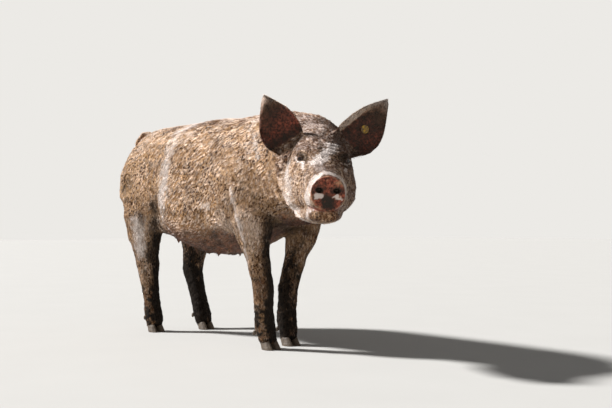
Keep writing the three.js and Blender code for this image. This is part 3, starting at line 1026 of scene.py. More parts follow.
@dataclass(frozen=True)
class MuddyHide:
    """Living pig skin with mud dried on it: dull, pitted between strands of bristle, moist on the snout."""

    grain_mm: float = 2.2
    # Where the muzzle starts on the row's x, over which the skin shows between its few hairs.
    muzzle: tuple = (0.70, 0.75)
    # The skin's share of the shared colour under the coat and where it lies open.
    shade: tuple = (0.62, 0.98)
    # Roughness where mud has dried and where the skin is bare and moist.
    rough: tuple = (0.9, 0.38)
    specular: float = 0.18

    def make(self) -> Finish:
        """Builds the hide's material.

        Returns:
            The material.
        """
        material, tree, shader = new_material("pig_skin_with_dried_mud")
        place = place_on(tree)
        marks = add_node(tree, "ShaderNodeAttribute", attribute_name="markings").outputs["Color"]
        bare = add_node(tree, "ShaderNodeSeparateColor", {0: marks}).outputs[2]
        along = add_node(tree, "ShaderNodeSeparateXYZ", {0: place}).outputs[0]
        lies_open = calc(tree, "MAXIMUM", bare, ramp(tree, along, *self.muzzle))
        colour = add_node(tree, "ShaderNodeHueSaturation", {
            "Color": marked_colour(tree), "Value": ramp(tree, lies_open, 0.0, 1.0, *self.shade)})
        grain = noise(tree, place, 1 / (self.grain_mm * MM), 3.0).outputs[0]
        height = calc(tree, "SUBTRACT", grain, FLANK_STREAKS.dark(tree))
        feed(tree, shader, {
            "Base Color": colour.outputs[0], "Roughness": ramp(tree, bare, 0.0, 1.0, *self.rough),
            "Normal": bump(tree, height, 0.7, 0.0015), "Specular IOR Level": self.specular})
        return material


@dataclass(frozen=True)
class PigBristle:
    """Coarse bristle, pale at heart, stuck in strands by dried mud: dull with a slight sheen."""

    # How light the darkest and the lightest tuft are against the shared colour, and a tuft's root and tip.
    gain: tuple = (0.20, 1.86)
    along: tuple = (0.62, 1.14)
    # The most that a tip may be lighter than the shared colour, so that no albedo passes 1 by much.
    brightest: float = 1.22
    # How saturated dark and light tufts are.
    depth: tuple = (1.34, 0.66)
    roughness: float = 0.72
    specular: float = 0.12

    def make(self) -> Finish:
        """Builds the coat's material.

        Returns:
            The material.
        """
        material, tree, shader = new_material("pig_bristle_with_mud")
        gain = ramp(tree, attribute(tree, "tint"), 0.0, 1.0, *self.gain)
        along = ramp(tree, attribute(tree, "reach"), 0.0, 0.7, *self.along)
        value = calc(tree, "MINIMUM", calc(tree, "MULTIPLY", gain, along), self.brightest)
        depth = ramp(tree, value, 0.45, 1.2, *self.depth)
        colour = add_node(tree, "ShaderNodeHueSaturation", {
            "Color": marked_colour(tree), "Saturation": depth, "Value": value})
        feed(tree, shader, {"Base Color": colour.outputs[0], "Roughness": self.roughness,
                            "Specular IOR Level": self.specular})
        return material


@dataclass(frozen=True)
class WetEye:
    """A pig's eye: dark brown iris under a clear wet cornea, so it is dark with one sharp highlight."""

    # Where the soft edges of the pupil and of the iris start and end, from the pupil's middle.
    pupil_mm: tuple = (2.8, 3.6)
    iris_mm: tuple = (6.5, 7.8)
    cornea_ior: float = 1.376

    def make(self) -> Finish:
        """Builds the eye's material, which reads the distance from the pupil as an attribute.

        Returns:
            The material.
        """
        material, tree, shader = new_material("wet_eye")
        away = attribute(tree, "from_pupil")
        iris = mix(tree, ramp(tree, away, *self.pupil_mm), linear("050403"), linear("2e1c10"))
        feed(tree, shader, {
            "Base Color": mix(tree, ramp(tree, away, *self.iris_mm), iris, linear("6b5044")),
            "Roughness": 0.08, "IOR": self.cornea_ior})
        return material


@dataclass(frozen=True)
class HoofHorn:
    """Keratin grown in fine rings and scuffed by soil, with dry mud in its hollows."""

    ring_mm: float = 3.0
    roughness: float = 0.62

    def make(self) -> Finish:
        """Builds the claws' material.

        Returns:
            The material.
        """
        material, tree, shader = new_material("hoof_horn_scuffed")
        place = place_on(tree)
        rings = add_node(tree, "ShaderNodeTexWave", {
            "Vector": place, "Scale": 0.16 / (self.ring_mm * MM), "Distortion": 2.0}, bands_direction="Z")
        scuffs = noise(tree, place, 90.0, 6.0).outputs[0]
        feed(tree, shader, {
            "Base Color": mix(tree, scuffs, linear("2e261f"), linear("6e5c48")),
            "Roughness": self.roughness, "Normal": bump(tree, rings.outputs[1], 0.4, 0.0008)})
        return material


@dataclass(frozen=True)
class MouldedTag:
    """Yellow polyurethane, injection moulded: satin, with dirt dried into its corners."""

    roughness: float = 0.45

    def make(self) -> Finish:
        """Builds the ear tag's material.

        Returns:
            The material.
        """
        material, tree, shader = new_material("moulded_polyurethane")
        dirt = ramp(tree, noise(tree, place_on(tree), 140.0, 5.0).outputs[0], 0.40, 0.62)
        feed(tree, shader, {"Base Color": mix(tree, dirt, linear("b98f1f"), linear("5a4526")),
                            "Roughness": self.roughness})
        return material


# ---------- The hide ----------

@dataclass(frozen=True)
class Flesh:
    """How the skin is worked on one kind of flesh."""

    # How far it lies under the solid's surface to make room for the coat, and how tall its crust of mud is.
    sunk_mm: float
    crust_mm: float
    # In how many rounds it is smoothed.
    rounds: float


@dataclass(frozen=True)
class Fold:
    """One long fold or crease of the body, by its corners in the row frame on her right side."""

    half: float
    rise_mm: float
    path: tuple


@dataclass
class Hide:
    """One skin over all her flesh, with lids, mouth, folds and mud worked into it."""

    voxel: float = 0.0032
    quick_times: float = 1.5625
    swell: float = 0.0006
    thin: float = 0.0012
    faces: int = 188_000
    # How many times more the nape is smoothed, so that no crease shows behind the forehead.
    nape_soft: float = 7.0
    # Round this place in the row frame the skin is hardly smoothed, so that the thin tail keeps its root.
    tail_root: tuple = (-0.701, 0.038, 0.800)
    flesh: dict = field(default_factory=lambda: {
        Part.TRUNK: Flesh(3.0, 1.7, 90), Part.NECK: Flesh(3.0, 1.7, 80), Part.HEAD: Flesh(1.6, 0.8, 14),
        Part.SNOUT: Flesh(0.2, 0.3, 2), Part.EAR: Flesh(1.1, 0.4, 5), Part.EYE: Flesh(1.6, 0.0, 14),
        Part.LEG: Flesh(1.8, 1.7, 34), Part.FOOT: Flesh(1.2, 1.7, 14), Part.HORN: Flesh(2.2, 0.0, 4),
        Part.TAIL: Flesh(1.2, 0.6, 6)})
    folds: tuple = (
        Fold(0.015, -10.0, ((-0.378, -0.165, 0.640), (-0.376, -0.163, 0.603), (-0.370, -0.160, 0.545),
                            (-0.388, -0.146, 0.500), (-0.396, -0.130, 0.455))),
        Fold(0.016, 3.0, ((-0.350, -0.166, 0.603), (-0.345, -0.162, 0.545), (-0.356, -0.148, 0.500),
                          (-0.350, -0.132, 0.460))),
        Fold(0.038, -7.0, ((-0.425, -0.150, 0.540), (-0.430, -0.140, 0.470))),
        Fold(0.010, -7.0, ((0.165, -0.166, 0.590), (0.168, -0.166, 0.540), (0.176, -0.155, 0.490),
                           (0.192, -0.145, 0.430), (0.196, -0.120, 0.370))),
        Fold(0.009, 2.2, ((0.187, -0.166, 0.563), (0.188, -0.158, 0.523), (0.204, -0.153, 0.485),
                          (0.210, -0.151, 0.461), (0.216, -0.145, 0.421), (0.221, -0.134, 0.380))),
    )
    # The neck's folds behind the jowl: their places back along the head's axis and their depths.
    neck_folds_mm: tuple = ((-22.0, 3.6), (-62.0, 4.2), (-112.0, 3.0))
    # Two rows of teats: how many, the x of the first and the last, and how far each row is from the middle.
    teats: int = 6
    teat_x: tuple = (-0.0167, -0.3967)
    teat_aside: float = 0.078
    # The skin of the feet stays this far over the floor, so that the claws carry her.
    off_floor: float = 0.0015
    # How far out the lids and the skin under them lie from the eye's middle, in millimetres.
    lid_mm: float = 13.3
    under_lid_mm: float = 10.2

    def build(self) -> Piece:
        """Makes the hide and has it stand for every node of flesh.

        Returns:
            The finished piece.
        """
        covered = sorted(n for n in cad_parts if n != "ear_tag")
        self.atlas = Atlas(covered)
        coarser = 1.0
        piece = link(welded_copy(covered, self.swell, self.thin), "hide")
        mesh = voxelled(piece, self.voxel * coarser)
        self._soften(mesh, coarser)
        self._refine(mesh)
        self._sculpt(mesh)
        mesh = self._thin(piece)
        smooth_in(mesh, MuddyHide().make())
        self._mark(mesh)
        flesh = [n for n in covered if Part.of_node(n) not in (Part.EYE, Part.HORN)]
        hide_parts(*flesh)
        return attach(piece, "root")

    def _soften(self, mesh: Mesh, coarser: float) -> None:
        """Smooths the facets away, more on the trunk than on the face, and sinks the skin under the coat.

        Args:
            mesh: The skin's mesh.
            coarser: How many times wider its grid is than at full size.
        """
        points, edges = mesh_points(mesh), edges_of(mesh)
        parts = self.atlas.parts(points)
        most = per_part(self.flesh, "rounds", parts)
        rounds = most / coarser ** 2
        depth = per_part(self.flesh, "sunk_mm", parts)
        both = relax(np.stack([rounds, depth], 1), edges, np.full(len(points), 0.6), 14)
        rounds, depth = np.minimum(both[:, 0], 1.6 * most), both[:, 1]
        x, y, z = HEAD.inside(points).T
        nape = step(100, 130, z) * step(105, 70, x) * step(-70, -30, x)
        rounds *= 1 + self.nape_soft * nape * step(95, 70, np.abs(y))
        from_tail = np.linalg.norm(points - np.array(self.tail_root), axis=1)
        rounds *= 0.06 + 0.94 * step(0.050, 0.100, from_tail)
        calm = self._calmed(points, edges, rounds)
        set_points(mesh, calm + self._calmed(points - calm, edges, rounds))
        sunk = mesh_normals(mesh) * ((depth * MM + self.swell)[:, None])
        set_points(mesh, mesh_points(mesh) - sunk)
        LOG.info("hide softened: %d vertices", len(points))

    @staticmethod
    def _calmed(values: Array, edges: Array, rounds: Array) -> Array:
        """Smooths values over the mesh, each vertex by its own number of rounds.

        Args:
            values: A row for each vertex.
            edges: Pairs of vertex numbers.
            rounds: How many rounds each vertex takes part in.

        Returns:
            The smoothed rows.
        """
        batch = 6
        for start in range(0, int(rounds.max()), batch):
            values = relax(values, edges, np.clip((rounds - start) / batch, 0, 1) * 0.5, batch)
        return values

    @staticmethod
    def _refine(mesh: Mesh) -> None:
        """Cuts the faces round the eyes, mouth and nostrils finer, so that they can hold small folds.

        Args:
            mesh: The skin's mesh.
        """
        work = bmesh.new()
        work.from_mesh(mesh)
        for reach, with_muzzle in ((40.0, True), (27.0, False)):
            head = HEAD.inside(np.array([v.co for v in work.verts]))
            aside = np.abs(head)
            muzzle = (head[:, 0] > 175) & (aside[:, 1] < 90) & (aside[:, 2] < 120)
            near = (HEAD.from_eyes(head) < reach) | (muzzle & with_muzzle)
            work.verts.ensure_lookup_table()
            edges = [e for e in work.edges if near[e.verts[0].index] and near[e.verts[1].index]]
            bmesh.ops.subdivide_edges(work, edges=edges, cuts=1, use_grid_fill=True, smooth=0.0)
        work.to_mesh(mesh)
        work.free()
        points, edges = mesh_points(mesh), edges_of(mesh)
        head = HEAD.inside(points)
        near = step(150, 180, head[:, 0]) * (np.abs(head[:, 1]) < 95) * (np.abs(head[:, 2]) < 125)
        near = np.maximum(near, step(44, 36, HEAD.from_eyes(head)))
        set_points(mesh, relax(points, edges, 0.5 * near, 4))
        LOG.info("hide refined: %d vertices", len(points))

    def _sculpt(self, mesh: Mesh) -> None:
        """Works the lids, mouth, folds, teats and crust into the skin.

        Args:
            mesh: The skin's mesh.
        """
        points, normals = mesh_points(mesh), mesh_normals(mesh)
        parts = self.atlas.parts(points)
        head = HEAD.inside(points)
        for side in (1, -1):
            head = self._lids(head, side)
        points = HEAD.outside(head)
        rise = self._face_folds(head, parts) + self._neck_folds(points, parts) + self._crust(points, parts)
        rise = rise + self._body_folds(points, parts)
        points = points + normals * (rise * MM)[:, None]
        points[:, 2] -= self._teats(points, normals, parts)
        points[:, 2] = np.maximum(points[:, 2], self.off_floor)
        set_points(mesh, points)

    def _lids(self, head: Array, side: int) -> Array:
        """Opens the lids over one eye.

        Args:
            head: The skin in the head's own millimetres.
            side: 1 for her left eye, -1 for her right.

        Returns:
            The skin with the eye's opening, lids and the fold above them.
        """
        eye, axes = HEAD.eye(side)
        away = head - eye
        far = np.linalg.norm(away, axis=1)
        local = away @ axes.T
        above = local[:, 1] > 0
        ring = HEAD.lid_ring(local)
        near = (far < 34) & (local[:, 2] > -2)
        lid = self.lid_mm + 2.6 * step(0.98, 1.35, ring)
        ball = np.where(ring < 1, self.under_lid_mm + 3.1 * step(0.82, 1.0, ring), lid)
        fold = -1.6 * bell((ring - 2.1) / 0.25) * above - 1.1 * bell((ring - 2.2) / 0.25) * ~above
        blend = (step(2.15, 1.35, ring) * near)[:, None]
        shaped = away * (1 - blend) + unit(away) * ball[:, None] * blend
        shaped = shaped + unit(away) * (fold * near * step(34, 26, far))[:, None]
        return np.where(near[:, None], eye + shaped, head)

    @staticmethod
    def _face_folds(head: Array, parts: Array) -> Array:
        """Rises and falls of the face: the mouth's line, the snout's wrinkles and the brow.

        Args:
            head: The skin in the head's own millimetres.
            parts: The value of Part of each point.

        Returns:
            Millimetres out along the skin's own direction.
        """
        x, y, z = head.T
        line = -56 + 6 * step(260, 190, x)
        mouth = -3.2 * bell((z - line) / 3.2) * step(186, 200, x)
        wave = np.sin(x / 11 * 2 * math.pi + 0.9 * np.sin(y / 16) + 1.5 * lattice_noise(head, 40, 31, 1))
        wrinkles = 0.9 * wave * step(228, 262, x) * step(322, 306, x) * step(-30, 10, z)
        brow_wave = np.sin(z / 9 * 2 * math.pi + np.abs(y) / 12 + 2 * lattice_noise(head, 35, 33, 1))
        brow = 0.7 * brow_wave * step(90, 110, x) * step(190, 165, x) * step(96, 108, z)
        brow = brow * step(62, 40, np.abs(y))
        cheek = 0.9 * lattice_noise(head, 24, 35, 2)
        return on(parts, Part.HEAD, Part.EYE) * (mouth + wrinkles + brow + cheek)

    def _neck_folds(self, points: Array, parts: Array) -> Array:
        """Soft folds behind the jowl, where the neck bends to her right.

        Args:
            points: The skin in the row frame.
            parts: The value of Part of each point.

        Returns:
            Millimetres out along the skin's own direction.
        """
        x, y, z = HEAD.inside(points).T
        bend = x + 0.25 * z + 0.12 * np.abs(y)
        deep = np.zeros(len(points))
        for place, amount in self.neck_folds_mm:
            away = bend - place + 7 * lattice_noise(points, 0.09, 41, 1)
            deep -= amount * bell(away / 7.0) - 0.4 * amount * bell((away - 16) / 12.0)
        deep = on(parts, Part.NECK, Part.HEAD, Part.TRUNK) * deep
        return deep * step(150, 60, z) * step(-210, -120, x) * step(0.2, 0.7, np.abs(y) / 110 - z / 300)

    def _body_folds(self, points: Array, parts: Array) -> Array:
        """The flank's fold before the thigh and the crease behind the elbow, the same on both sides.

        Args:
            points: The skin in the row frame.
            parts: The value of Part of each point.

        Returns:
            Millimetres out along the skin's own direction.
        """
        mirrored = points.copy()
        mirrored[:, 1] = MID_Y - np.abs(points[:, 1] - MID_Y)
        rise = np.zeros(len(points))
        for fold in self.folds:
            rise += fold.rise_mm * bell(path_distance(mirrored, fold.path) / fold.half)
        return rise * on(parts, Part.TRUNK, Part.LEG, Part.NECK)

    def _crust(self, points: Array, parts: Array) -> Array:
        """Lumps of dried mud and matted bristle.

        Args:
            points: The skin in the row frame.
            parts: The value of Part of each point.

        Returns:
            Millimetres out along the skin's own direction.
        """
        tall = per_part(self.flesh, "crust_mm", parts)
        lumps, swells = lattice_noise(points, 0.014, 51), lattice_noise(points, 0.06, 53)
        return tall * (lumps + 0.8 * swells * (tall > 1))

    def _teats(self, points: Array, normals: Array, parts: Array) -> Array:
        """Draws two rows of teats out of the belly.

        Args:
            points: The skin in the row frame.
            normals: Its directions.
            parts: The value of Part of each point.

        Returns:
            How far each point hangs lower.
        """
        belly = on(parts, Part.TRUNK) & (normals[:, 2] < -0.4)
        lower = np.zeros(len(points))
        for x in np.linspace(*self.teat_x, self.teats):
            for side in (1, -1):
                away = np.linalg.norm(points[:, :2] - (x, MID_Y + side * self.teat_aside), axis=1)
                drop = 0.003 * bell(away / 0.016) + 0.012 * step(0.0085, 0.0045, away)
                lower += np.where(belly & (away < 0.04), drop, 0.0)
        return lower

    def _thin(self, piece: Piece) -> Mesh:
        """Thins the faces on the trunk and keeps them fine on the head and feet.

        Args:
            piece: The hide.

        Returns:
            Its new mesh.
        """
        mesh = piece.data
        points = mesh_points(mesh)
        head = HEAD.inside(points)
        on_face = step(-40, 110, head[:, 0]) * step(200, 120, np.abs(head[:, 1]))
        keep = np.maximum(on_face, step(0.2, 0.08, points[:, 2]))
        group = piece.vertex_groups.new(name="thin")
        levels = np.round((1 - 0.92 * keep) * 8) / 8
        for level in np.unique(levels):
            group.add(np.nonzero(levels == level)[0].tolist(), float(level), "REPLACE")
        triangles = sum(len(p.vertices) - 2 for p in mesh.polygons)
        decimate = piece.modifiers.new("thin", "DECIMATE")
        decimate.ratio = min(1.0, self.faces / triangles)
        decimate.vertex_group = group.name
        decimate.vertex_group_factor = 2.0
        decimate.use_collapse_triangulate = True
        made = baked(piece)
        piece.vertex_groups.clear()
        LOG.info("hide thinned: %d triangles to %d", triangles, len(made.polygons))
        return made

    def _mark(self, mesh: Mesh) -> None:
        """Stores the markings on the hide.

        Args:
            mesh: The finished skin's mesh.
        """
        self.parts = self.atlas.parts(mesh_points(mesh))
        ground = Ground(mesh_points(mesh), mesh_normals(mesh), self.parts)
        store(mesh, "markings", "FLOAT_COLOR", MARKINGS.weights(ground))


# ---------- Eyes, claws and tag ----------

@dataclass
class Eye:
    """One eyeball with a slightly raised cornea, turned to look forwards and out."""

    side: str
    rings: int = 48
    radius: float = 0.013
    bulge_mm: float = 0.9
    # The cornea's edge, in degrees off the gaze: where its rise starts and where it is whole.
    cornea: tuple = (34, 16)

    def build(self, finish: Finish) -> Piece:
        """Makes the eyeball.

        Args:
            finish: Its material.

        Returns:
            The finished piece.
        """
        gaze = HEAD.turned(HEAD.gaze(1 if self.side == "left" else -1))
        ball = bmesh.new()
        bmesh.ops.create_uvsphere(ball, u_segments=self.rings, v_segments=self.rings // 2, radius=1.0)
        mesh = bpy.data.meshes.new(f"eyeball_{self.side}")
        ball.to_mesh(mesh)
        ball.free()
        sphere = unit(mesh_points(mesh))
        off = np.degrees(np.arccos(np.clip(sphere @ gaze, -1, 1)))
        raised = 1 + self.bulge_mm * MM / self.radius * step(*self.cornea, off)
        set_points(mesh, middle_of(f"eye_{self.side}") + sphere * self.radius * raised[:, None])
        from_pupil = np.sin(np.radians(np.minimum(off, 90))) * self.radius / MM
        store(mesh, "from_pupil", "FLOAT", from_pupil)
        smooth_in(mesh, finish)
        piece = link(mesh, mesh.name)
        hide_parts(f"eye_{self.side}")
        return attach(piece, "root")


@dataclass
class Claw:
    """One claw or dewclaw, with the solid's facets rounded and its wall ringed by growth."""

    node: str
    voxel: float = 0.0016
    swell: float = 0.0003
    ring: float = 0.0042
    ring_mm: float = 0.35
    rough_mm: float = 0.5
    # A sole this near to the floor is set flat on it.
    sole: float = 0.0012

    def build(self, finish: Finish) -> Piece:
        """Makes the claw.

        Args:
            finish: Its material.

        Returns:
            The finished piece.
        """
        piece = link(welded_copy([self.node], self.swell), f"{self.node}_horn")
        mesh = voxelled(piece, self.voxel)
        points = mesh_points(mesh)
        points = relax(points, edges_of(mesh), np.full(len(points), 0.5), 8)
        set_points(mesh, points)
        rings = self.ring_mm * np.sin(points[:, 2] / self.ring * 2 * math.pi)
        rings = rings + self.rough_mm * lattice_noise(points, 0.008, 61)
        points = points + mesh_normals(mesh) * (rings * MM)[:, None]
        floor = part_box(self.node)[0][2]
        points[:, 2] = np.maximum(points[:, 2], floor)
        if floor < MM:
            points[:, 2] = np.where(points[:, 2] < self.sole, 0.0, points[:, 2])
        set_points(mesh, points)
        smooth_in(mesh, finish)
        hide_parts(self.node)
        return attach(piece, "root")


@dataclass
class EarTag:
    """A bare two-piece button tag: a rimmed disc inside the ear, its stud, and a smaller disc behind."""

    segments: int = 48
    # Radius and height of the turned outline, in millimetres from the middle of the ear.
    outline: tuple = (
        (0, -8.6), (7.6, -8.6), (8.7, -8.2), (9, -7.2), (8.8, -5.6), (4.2, -5.2), (4, -4.6), (4, 4.6),
        (4.4, 5.2), (13.2, 5.3), (14, 6.0), (14, 7.2), (13.3, 8.0), (12.2, 8.0), (11.6, 7.3), (5.2, 7.2),
        (4.8, 8.6), (3.4, 9.0), (2.8, 8.2), (0, 8.0))

    def build(self, finish: Finish) -> Piece:
        """Makes the tag.

        Args:
            finish: Its material.

        Returns:
            The finished piece.
        """
        points = np.unique(np.round(mesh_points(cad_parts["ear_tag"].data), 6), axis=0)
        middle = points.mean(0)
        axis = np.linalg.svd(points - middle)[2][2]
        axis = axis if axis @ HEAD.x > 0 else -axis
        heights = (points - middle) @ axis
        centre = middle + axis * (heights.max() + heights.min()) / 2
        across = unit(np.cross(axis, (0, 0, 1)))
        up = np.cross(axis, across)
        count = self.segments
        rows = []
        for radius, height in self.outline:
            for i in range(count):
                turn = 2 * math.pi * i / count
                aside = across * math.cos(turn) + up * math.sin(turn)
                rows.append(tuple(centre + axis * height * MM + aside * radius * MM))
        faces = [(j + i, j + (i + 1) % count, j + count + (i + 1) % count, j + count + i)
                 for j in range(0, count * (len(self.outline) - 1), count) for i in range(count)]
        mesh = bpy.data.meshes.new("button_tag")
        mesh.from_pydata(rows, [], faces)
        work = bmesh.new()
        work.from_mesh(mesh)
        bmesh.ops.remove_doubles(work, verts=work.verts, dist=WELD)
        bmesh.ops.recalc_face_normals(work, faces=work.faces)
        work.to_mesh(mesh)
        work.free()
        smooth_in(mesh, finish)
        piece = link(mesh, "button_tag")
        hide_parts("ear_tag")
        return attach(piece, "root")


# ---------- The coat ----------

class TuftTree:
    """A geometry tree that sets one bent tuft on every root and joins them all."""

    # A tuft's half-width, half-thickness and bend, each as a share of its length.
    WIDTH = 0.135
    THICKNESS = 0.060
    BEND = 0.14
    # How much fuller than a cone it grows towards its tip, and its share of the cone's width at the root.
    BELLY = (1.3, 0.62)
    # The patch of the map that one tuft covers.
    PATCH = (0.0015, 0.003, 0.0)

    def __init__(self, name: str, finish: Finish) -> None:
        """Builds the tree.

        Args:
            name: The tree's name.
            finish: The tufts' material.
        """
        tree = bpy.data.node_groups.new(name, "GeometryNodeTree")
        self.tree = tree
        for label, way in (("Roots", "INPUT"), ("Coat", "OUTPUT")):
            tree.interface.new_socket(label, in_out=way, socket_type="NodeSocketGeometry")
        given = add_node(tree, "NodeGroupInput")
        placed = add_node(tree, "GeometryNodeInstanceOnPoints", {
            "Points": given.outputs["Roots"], "Instance": self._tuft(),
            "Rotation": self._stored("turn", "QUATERNION"), "Scale": self._stored("length", "FLOAT")})
        real = add_node(tree, "GeometryNodeRealizeInstances", {0: placed.outputs[0]})
        leaf = self._stored("spot", "FLOAT_VECTOR")
        patch = add_node(tree, "ShaderNodeVectorMath", {
            0: leaf, 1: self.PATCH, 2: self._stored("root_uv", "FLOAT_VECTOR")}, operation="MULTIPLY_ADD")
        mapped = self._store(real.outputs[0], "OFBake", patch.outputs[0], "FLOAT2", "CORNER")
        smooth = add_node(tree, "GeometryNodeSetShadeSmooth", {"Geometry": mapped, "Shade Smooth": True})
        reach = add_node(tree, "ShaderNodeSeparateXYZ", {0: leaf}).outputs[1]
        result = self._store(smooth.outputs[0], "reach", reach, "FLOAT")
        for spare in ("spot", "root_uv", "length", "turn"):
            removed = add_node(tree, "GeometryNodeRemoveAttribute", {"Geometry": result, "Name": spare})
            result = removed.outputs[0]
        coat = add_node(tree, "GeometryNodeSetMaterial", {"Geometry": result, "Material": finish})
        add_node(tree, "NodeGroupOutput", {0: coat.outputs[0]})

    def _tuft(self) -> Socket:
        """Bends a three-sided cone of unit length and stores on it where each vertex was.

        Returns:
            The tuft's geometry.
        """
        tree = self.tree
        cone = add_node(tree, "GeometryNodeMeshCone", {
            "Vertices": 3, "Side Segments": 1, "Radius Top": 0.0, "Radius Bottom": 1.0, "Depth": 1.0},
            fill_type="NONE")
        place = add_node(tree, "GeometryNodeInputPosition").outputs[0]
        x, y, z = add_node(tree, "ShaderNodeSeparateXYZ", {0: place}).outputs
        belly = calc(tree, "MULTIPLY_ADD", z, *self.BELLY)
        wide = calc(tree, "MULTIPLY", x, calc(tree, "MULTIPLY", self.WIDTH, belly))
        flat = calc(tree, "MULTIPLY", y, calc(tree, "MULTIPLY", self.THICKNESS, belly))
        down = calc(tree, "MULTIPLY", calc(tree, "MULTIPLY", z, z), self.BEND)
        bent = add_node(tree, "ShaderNodeCombineXYZ", {0: wide, 1: calc(tree, "SUBTRACT", flat, down), 2: z})
        shaped = add_node(tree, "GeometryNodeSetPosition", {
            "Geometry": cone.outputs[0], "Position": bent.outputs[0]})
        own = add_node(tree, "ShaderNodeCombineXYZ", {0: x, 1: z, 2: 0.0})
        return self._store(shaped.outputs[0], "spot", own.outputs[0], "FLOAT_VECTOR")

    def _stored(self, name: str, kind: str) -> Socket:
        """Reads a stored value."""
        node = add_node(self.tree, "GeometryNodeInputNamedAttribute", {"Name": name}, data_type=kind)
        return node.outputs[0]

    def _store(self, geometry: Socket, name: str, value: Socket, kind: str, domain: str = "POINT") -> Socket:
        """Stores a value and hands the geometry on."""
        return add_node(self.tree, "GeometryNodeStoreNamedAttribute", {
            "Geometry": geometry, "Name": name, "Value": value}, data_type=kind, domain=domain).outputs[0]


@dataclass(frozen=True)
class Growth:
    """How bristles grow on one kind of flesh."""

    per_m2: float
    length_mm: float
    lean: float
    clump: float


@dataclass
class Coat:
    """Bristles in tufts, laid along the body, in pieces small enough to export whole."""

    hide: Hide
    skin: Piece
    # The most tufts that one piece holds.
    most: int = 64_000
    quick_share: float = 0.3
    clump_mm: float = 11.0
    drawn: float = 0.62
    # Behind this x the hair turns down over the rump, and under this z it lies level along the belly.
    rump_x: float = -0.38
    belly_z: float = 0.46
    # How steeply clumps run down on the flank, rump and belly, in radians.
    slopes: tuple = (0.73, 1.05, 0.15)
    # How far the hair's lie wanders over the body, and how far whole clumps lean aside.
    swirl: float = 0.35
    swing: float = 0.55
    # The share of the coat that grows in the ear's hollow, and the share that bare skin costs.
    in_ear: float = 0.35
    on_bare: float = 0.72
    # Where the trunk's coat and the legs' are parted into rear and front.
    trunk_cut: float = -0.16
    leg_cut: float = -0.1
    growth: dict = field(default_factory=lambda: {
        Part.TRUNK: Growth(105_000, 15, 0.28, 0.62), Part.NECK: Growth(115_000, 15, 0.28, 0.60),
        Part.HEAD: Growth(230_000, 7.5, 0.30, 0.50), Part.EAR: Growth(220_000, 6.5, 0.30, 0.20),
        Part.LEG: Growth(130_000, 9.5, 0.30, 0.60), Part.FOOT: Growth(150_000, 8, 0.26, 0.50),
        Part.TAIL: Growth(120_000, 10, 0.3, 0.2), Part.SNOUT: Growth(0, 4, 0.5, 0.0),
        Part.EYE: Growth(120_000, 5, 0.3, 0.1), Part.HORN: Growth(0, 5, 0.3, 0.0)})

    def build(self) -> list[Piece]:
        """Grows the whole coat.

        Returns:
            The finished pieces.
        """
        self.random = np.random.default_rng(SEED)
        self._sample()
        self._comb()
        tree = TuftTree("bristle_tufts", PigBristle().make())
        pieces = []
        for name, chosen, centre, axis in self._regions():
            picks = np.nonzero(chosen)[0]
            if len(picks) > self.most:
                LOG.warning("coat_%s is cut to %d tufts from %d", name, self.most, len(picks))
                picks = self.random.choice(picks, self.most, replace=False)
            pieces.append(self._grow(name, picks, centre, axis, tree))
        return pieces

    def _sample(self) -> None:
        """Scatters the roots over the hide."""
        mesh = self.skin.data
        points, normals = mesh_points(mesh), mesh_normals(mesh)
        mesh.calc_loop_triangles()
        corners = read(mesh.loop_triangles, "vertices", 3, np.int64)
        a, b, c = (points[corners[:, i]] for i in range(3))
        area = np.linalg.norm(np.cross(b - a, c - a), axis=1) / 2
        part = self.hide.parts[corners[:, 0]]
        density = per_part(self.growth, "per_m2", part) * 1
        due = np.cumsum(area * density * self._bareness(Ground(a, normals[corners[:, 0]], part)))
        counts = np.diff(np.floor(np.concatenate([[0.0], due]))).astype(int)
        picks = np.repeat(np.arange(len(counts)), counts)
        u, v = self.random.random((2, len(picks)))
        flip = u + v > 1
        u, v = np.where(flip, 1 - u, u), np.where(flip, 1 - v, v)
        share = np.stack([1 - u - v, u, v], 1)[:, :, None]
        roots, lifts = ((rows[corners[picks]] * share).sum(1) for rows in (points, normals))
        self.roots = Ground(roots, unit(lifts), part[picks])
        self.marks = MARKINGS.weights(self.roots)
        LOG.info("coat: %d tufts", len(roots))

    def _bareness(self, ground: Ground) -> Array:
        """Thins the coat on bare skin.

        Args:
            ground: Places on the hide.

        Returns:
            The share of full density that grows at each place.
        """
        bare = MARKINGS.weights(ground)[:, 2]
        in_ear = on(ground.parts, Part.EAR) & (bare > 0.3)
        share = np.where(in_ear, self.in_ear, 1 - self.on_bare * bare)
        on_face = step(322, 300, ground.head[:, 0]) * step(11, 17, HEAD.from_eyes(ground.head))
        return share * np.where(ground.on_head, on_face, 1.0) * step(0.004, 0.02, ground.points[:, 2])

    def _lie(self) -> Array:
        """Works out which way the bristles lie, before they are laid on the skin.

        Returns:
            A direction for each root.
        """
        roots, points, head = self.roots, self.roots.points, self.roots.head
        lie = np.tile((-1.0, 0.0, -0.9), (len(points), 1))
        lie[:, 2] -= 0.8 * step(self.rump_x + 0.12, self.rump_x - 0.07, points[:, 0])
        lie[:, 2] += 0.75 * step(self.belly_z + 0.04, self.belly_z - 0.04, points[:, 2])
        fall = step(0.62, 0.40, points[:, 2])[:, None]
        lie = np.where(roots.on_limb[:, None], lie * (1 - fall) + np.array((-0.25, 0, -1.0)) * fall, lie)
        outwards = np.stack([np.full(len(head), -1.0), 0.004 * head[:, 1], -0.35 - 0.003 * head[:, 2]], 1)
        lie = np.where(roots.on_head[:, None], HEAD.turned(outwards), lie)
        for side in (1, -1):
            mine = on(roots.parts, Part.EAR) & (head[:, 1] * side > 0)
            lie = np.where(mine[:, None], HEAD.ear_rise(side), lie)
        return np.where(on(roots.parts, Part.TAIL)[:, None], (-0.6, -0.4, -0.7), lie)

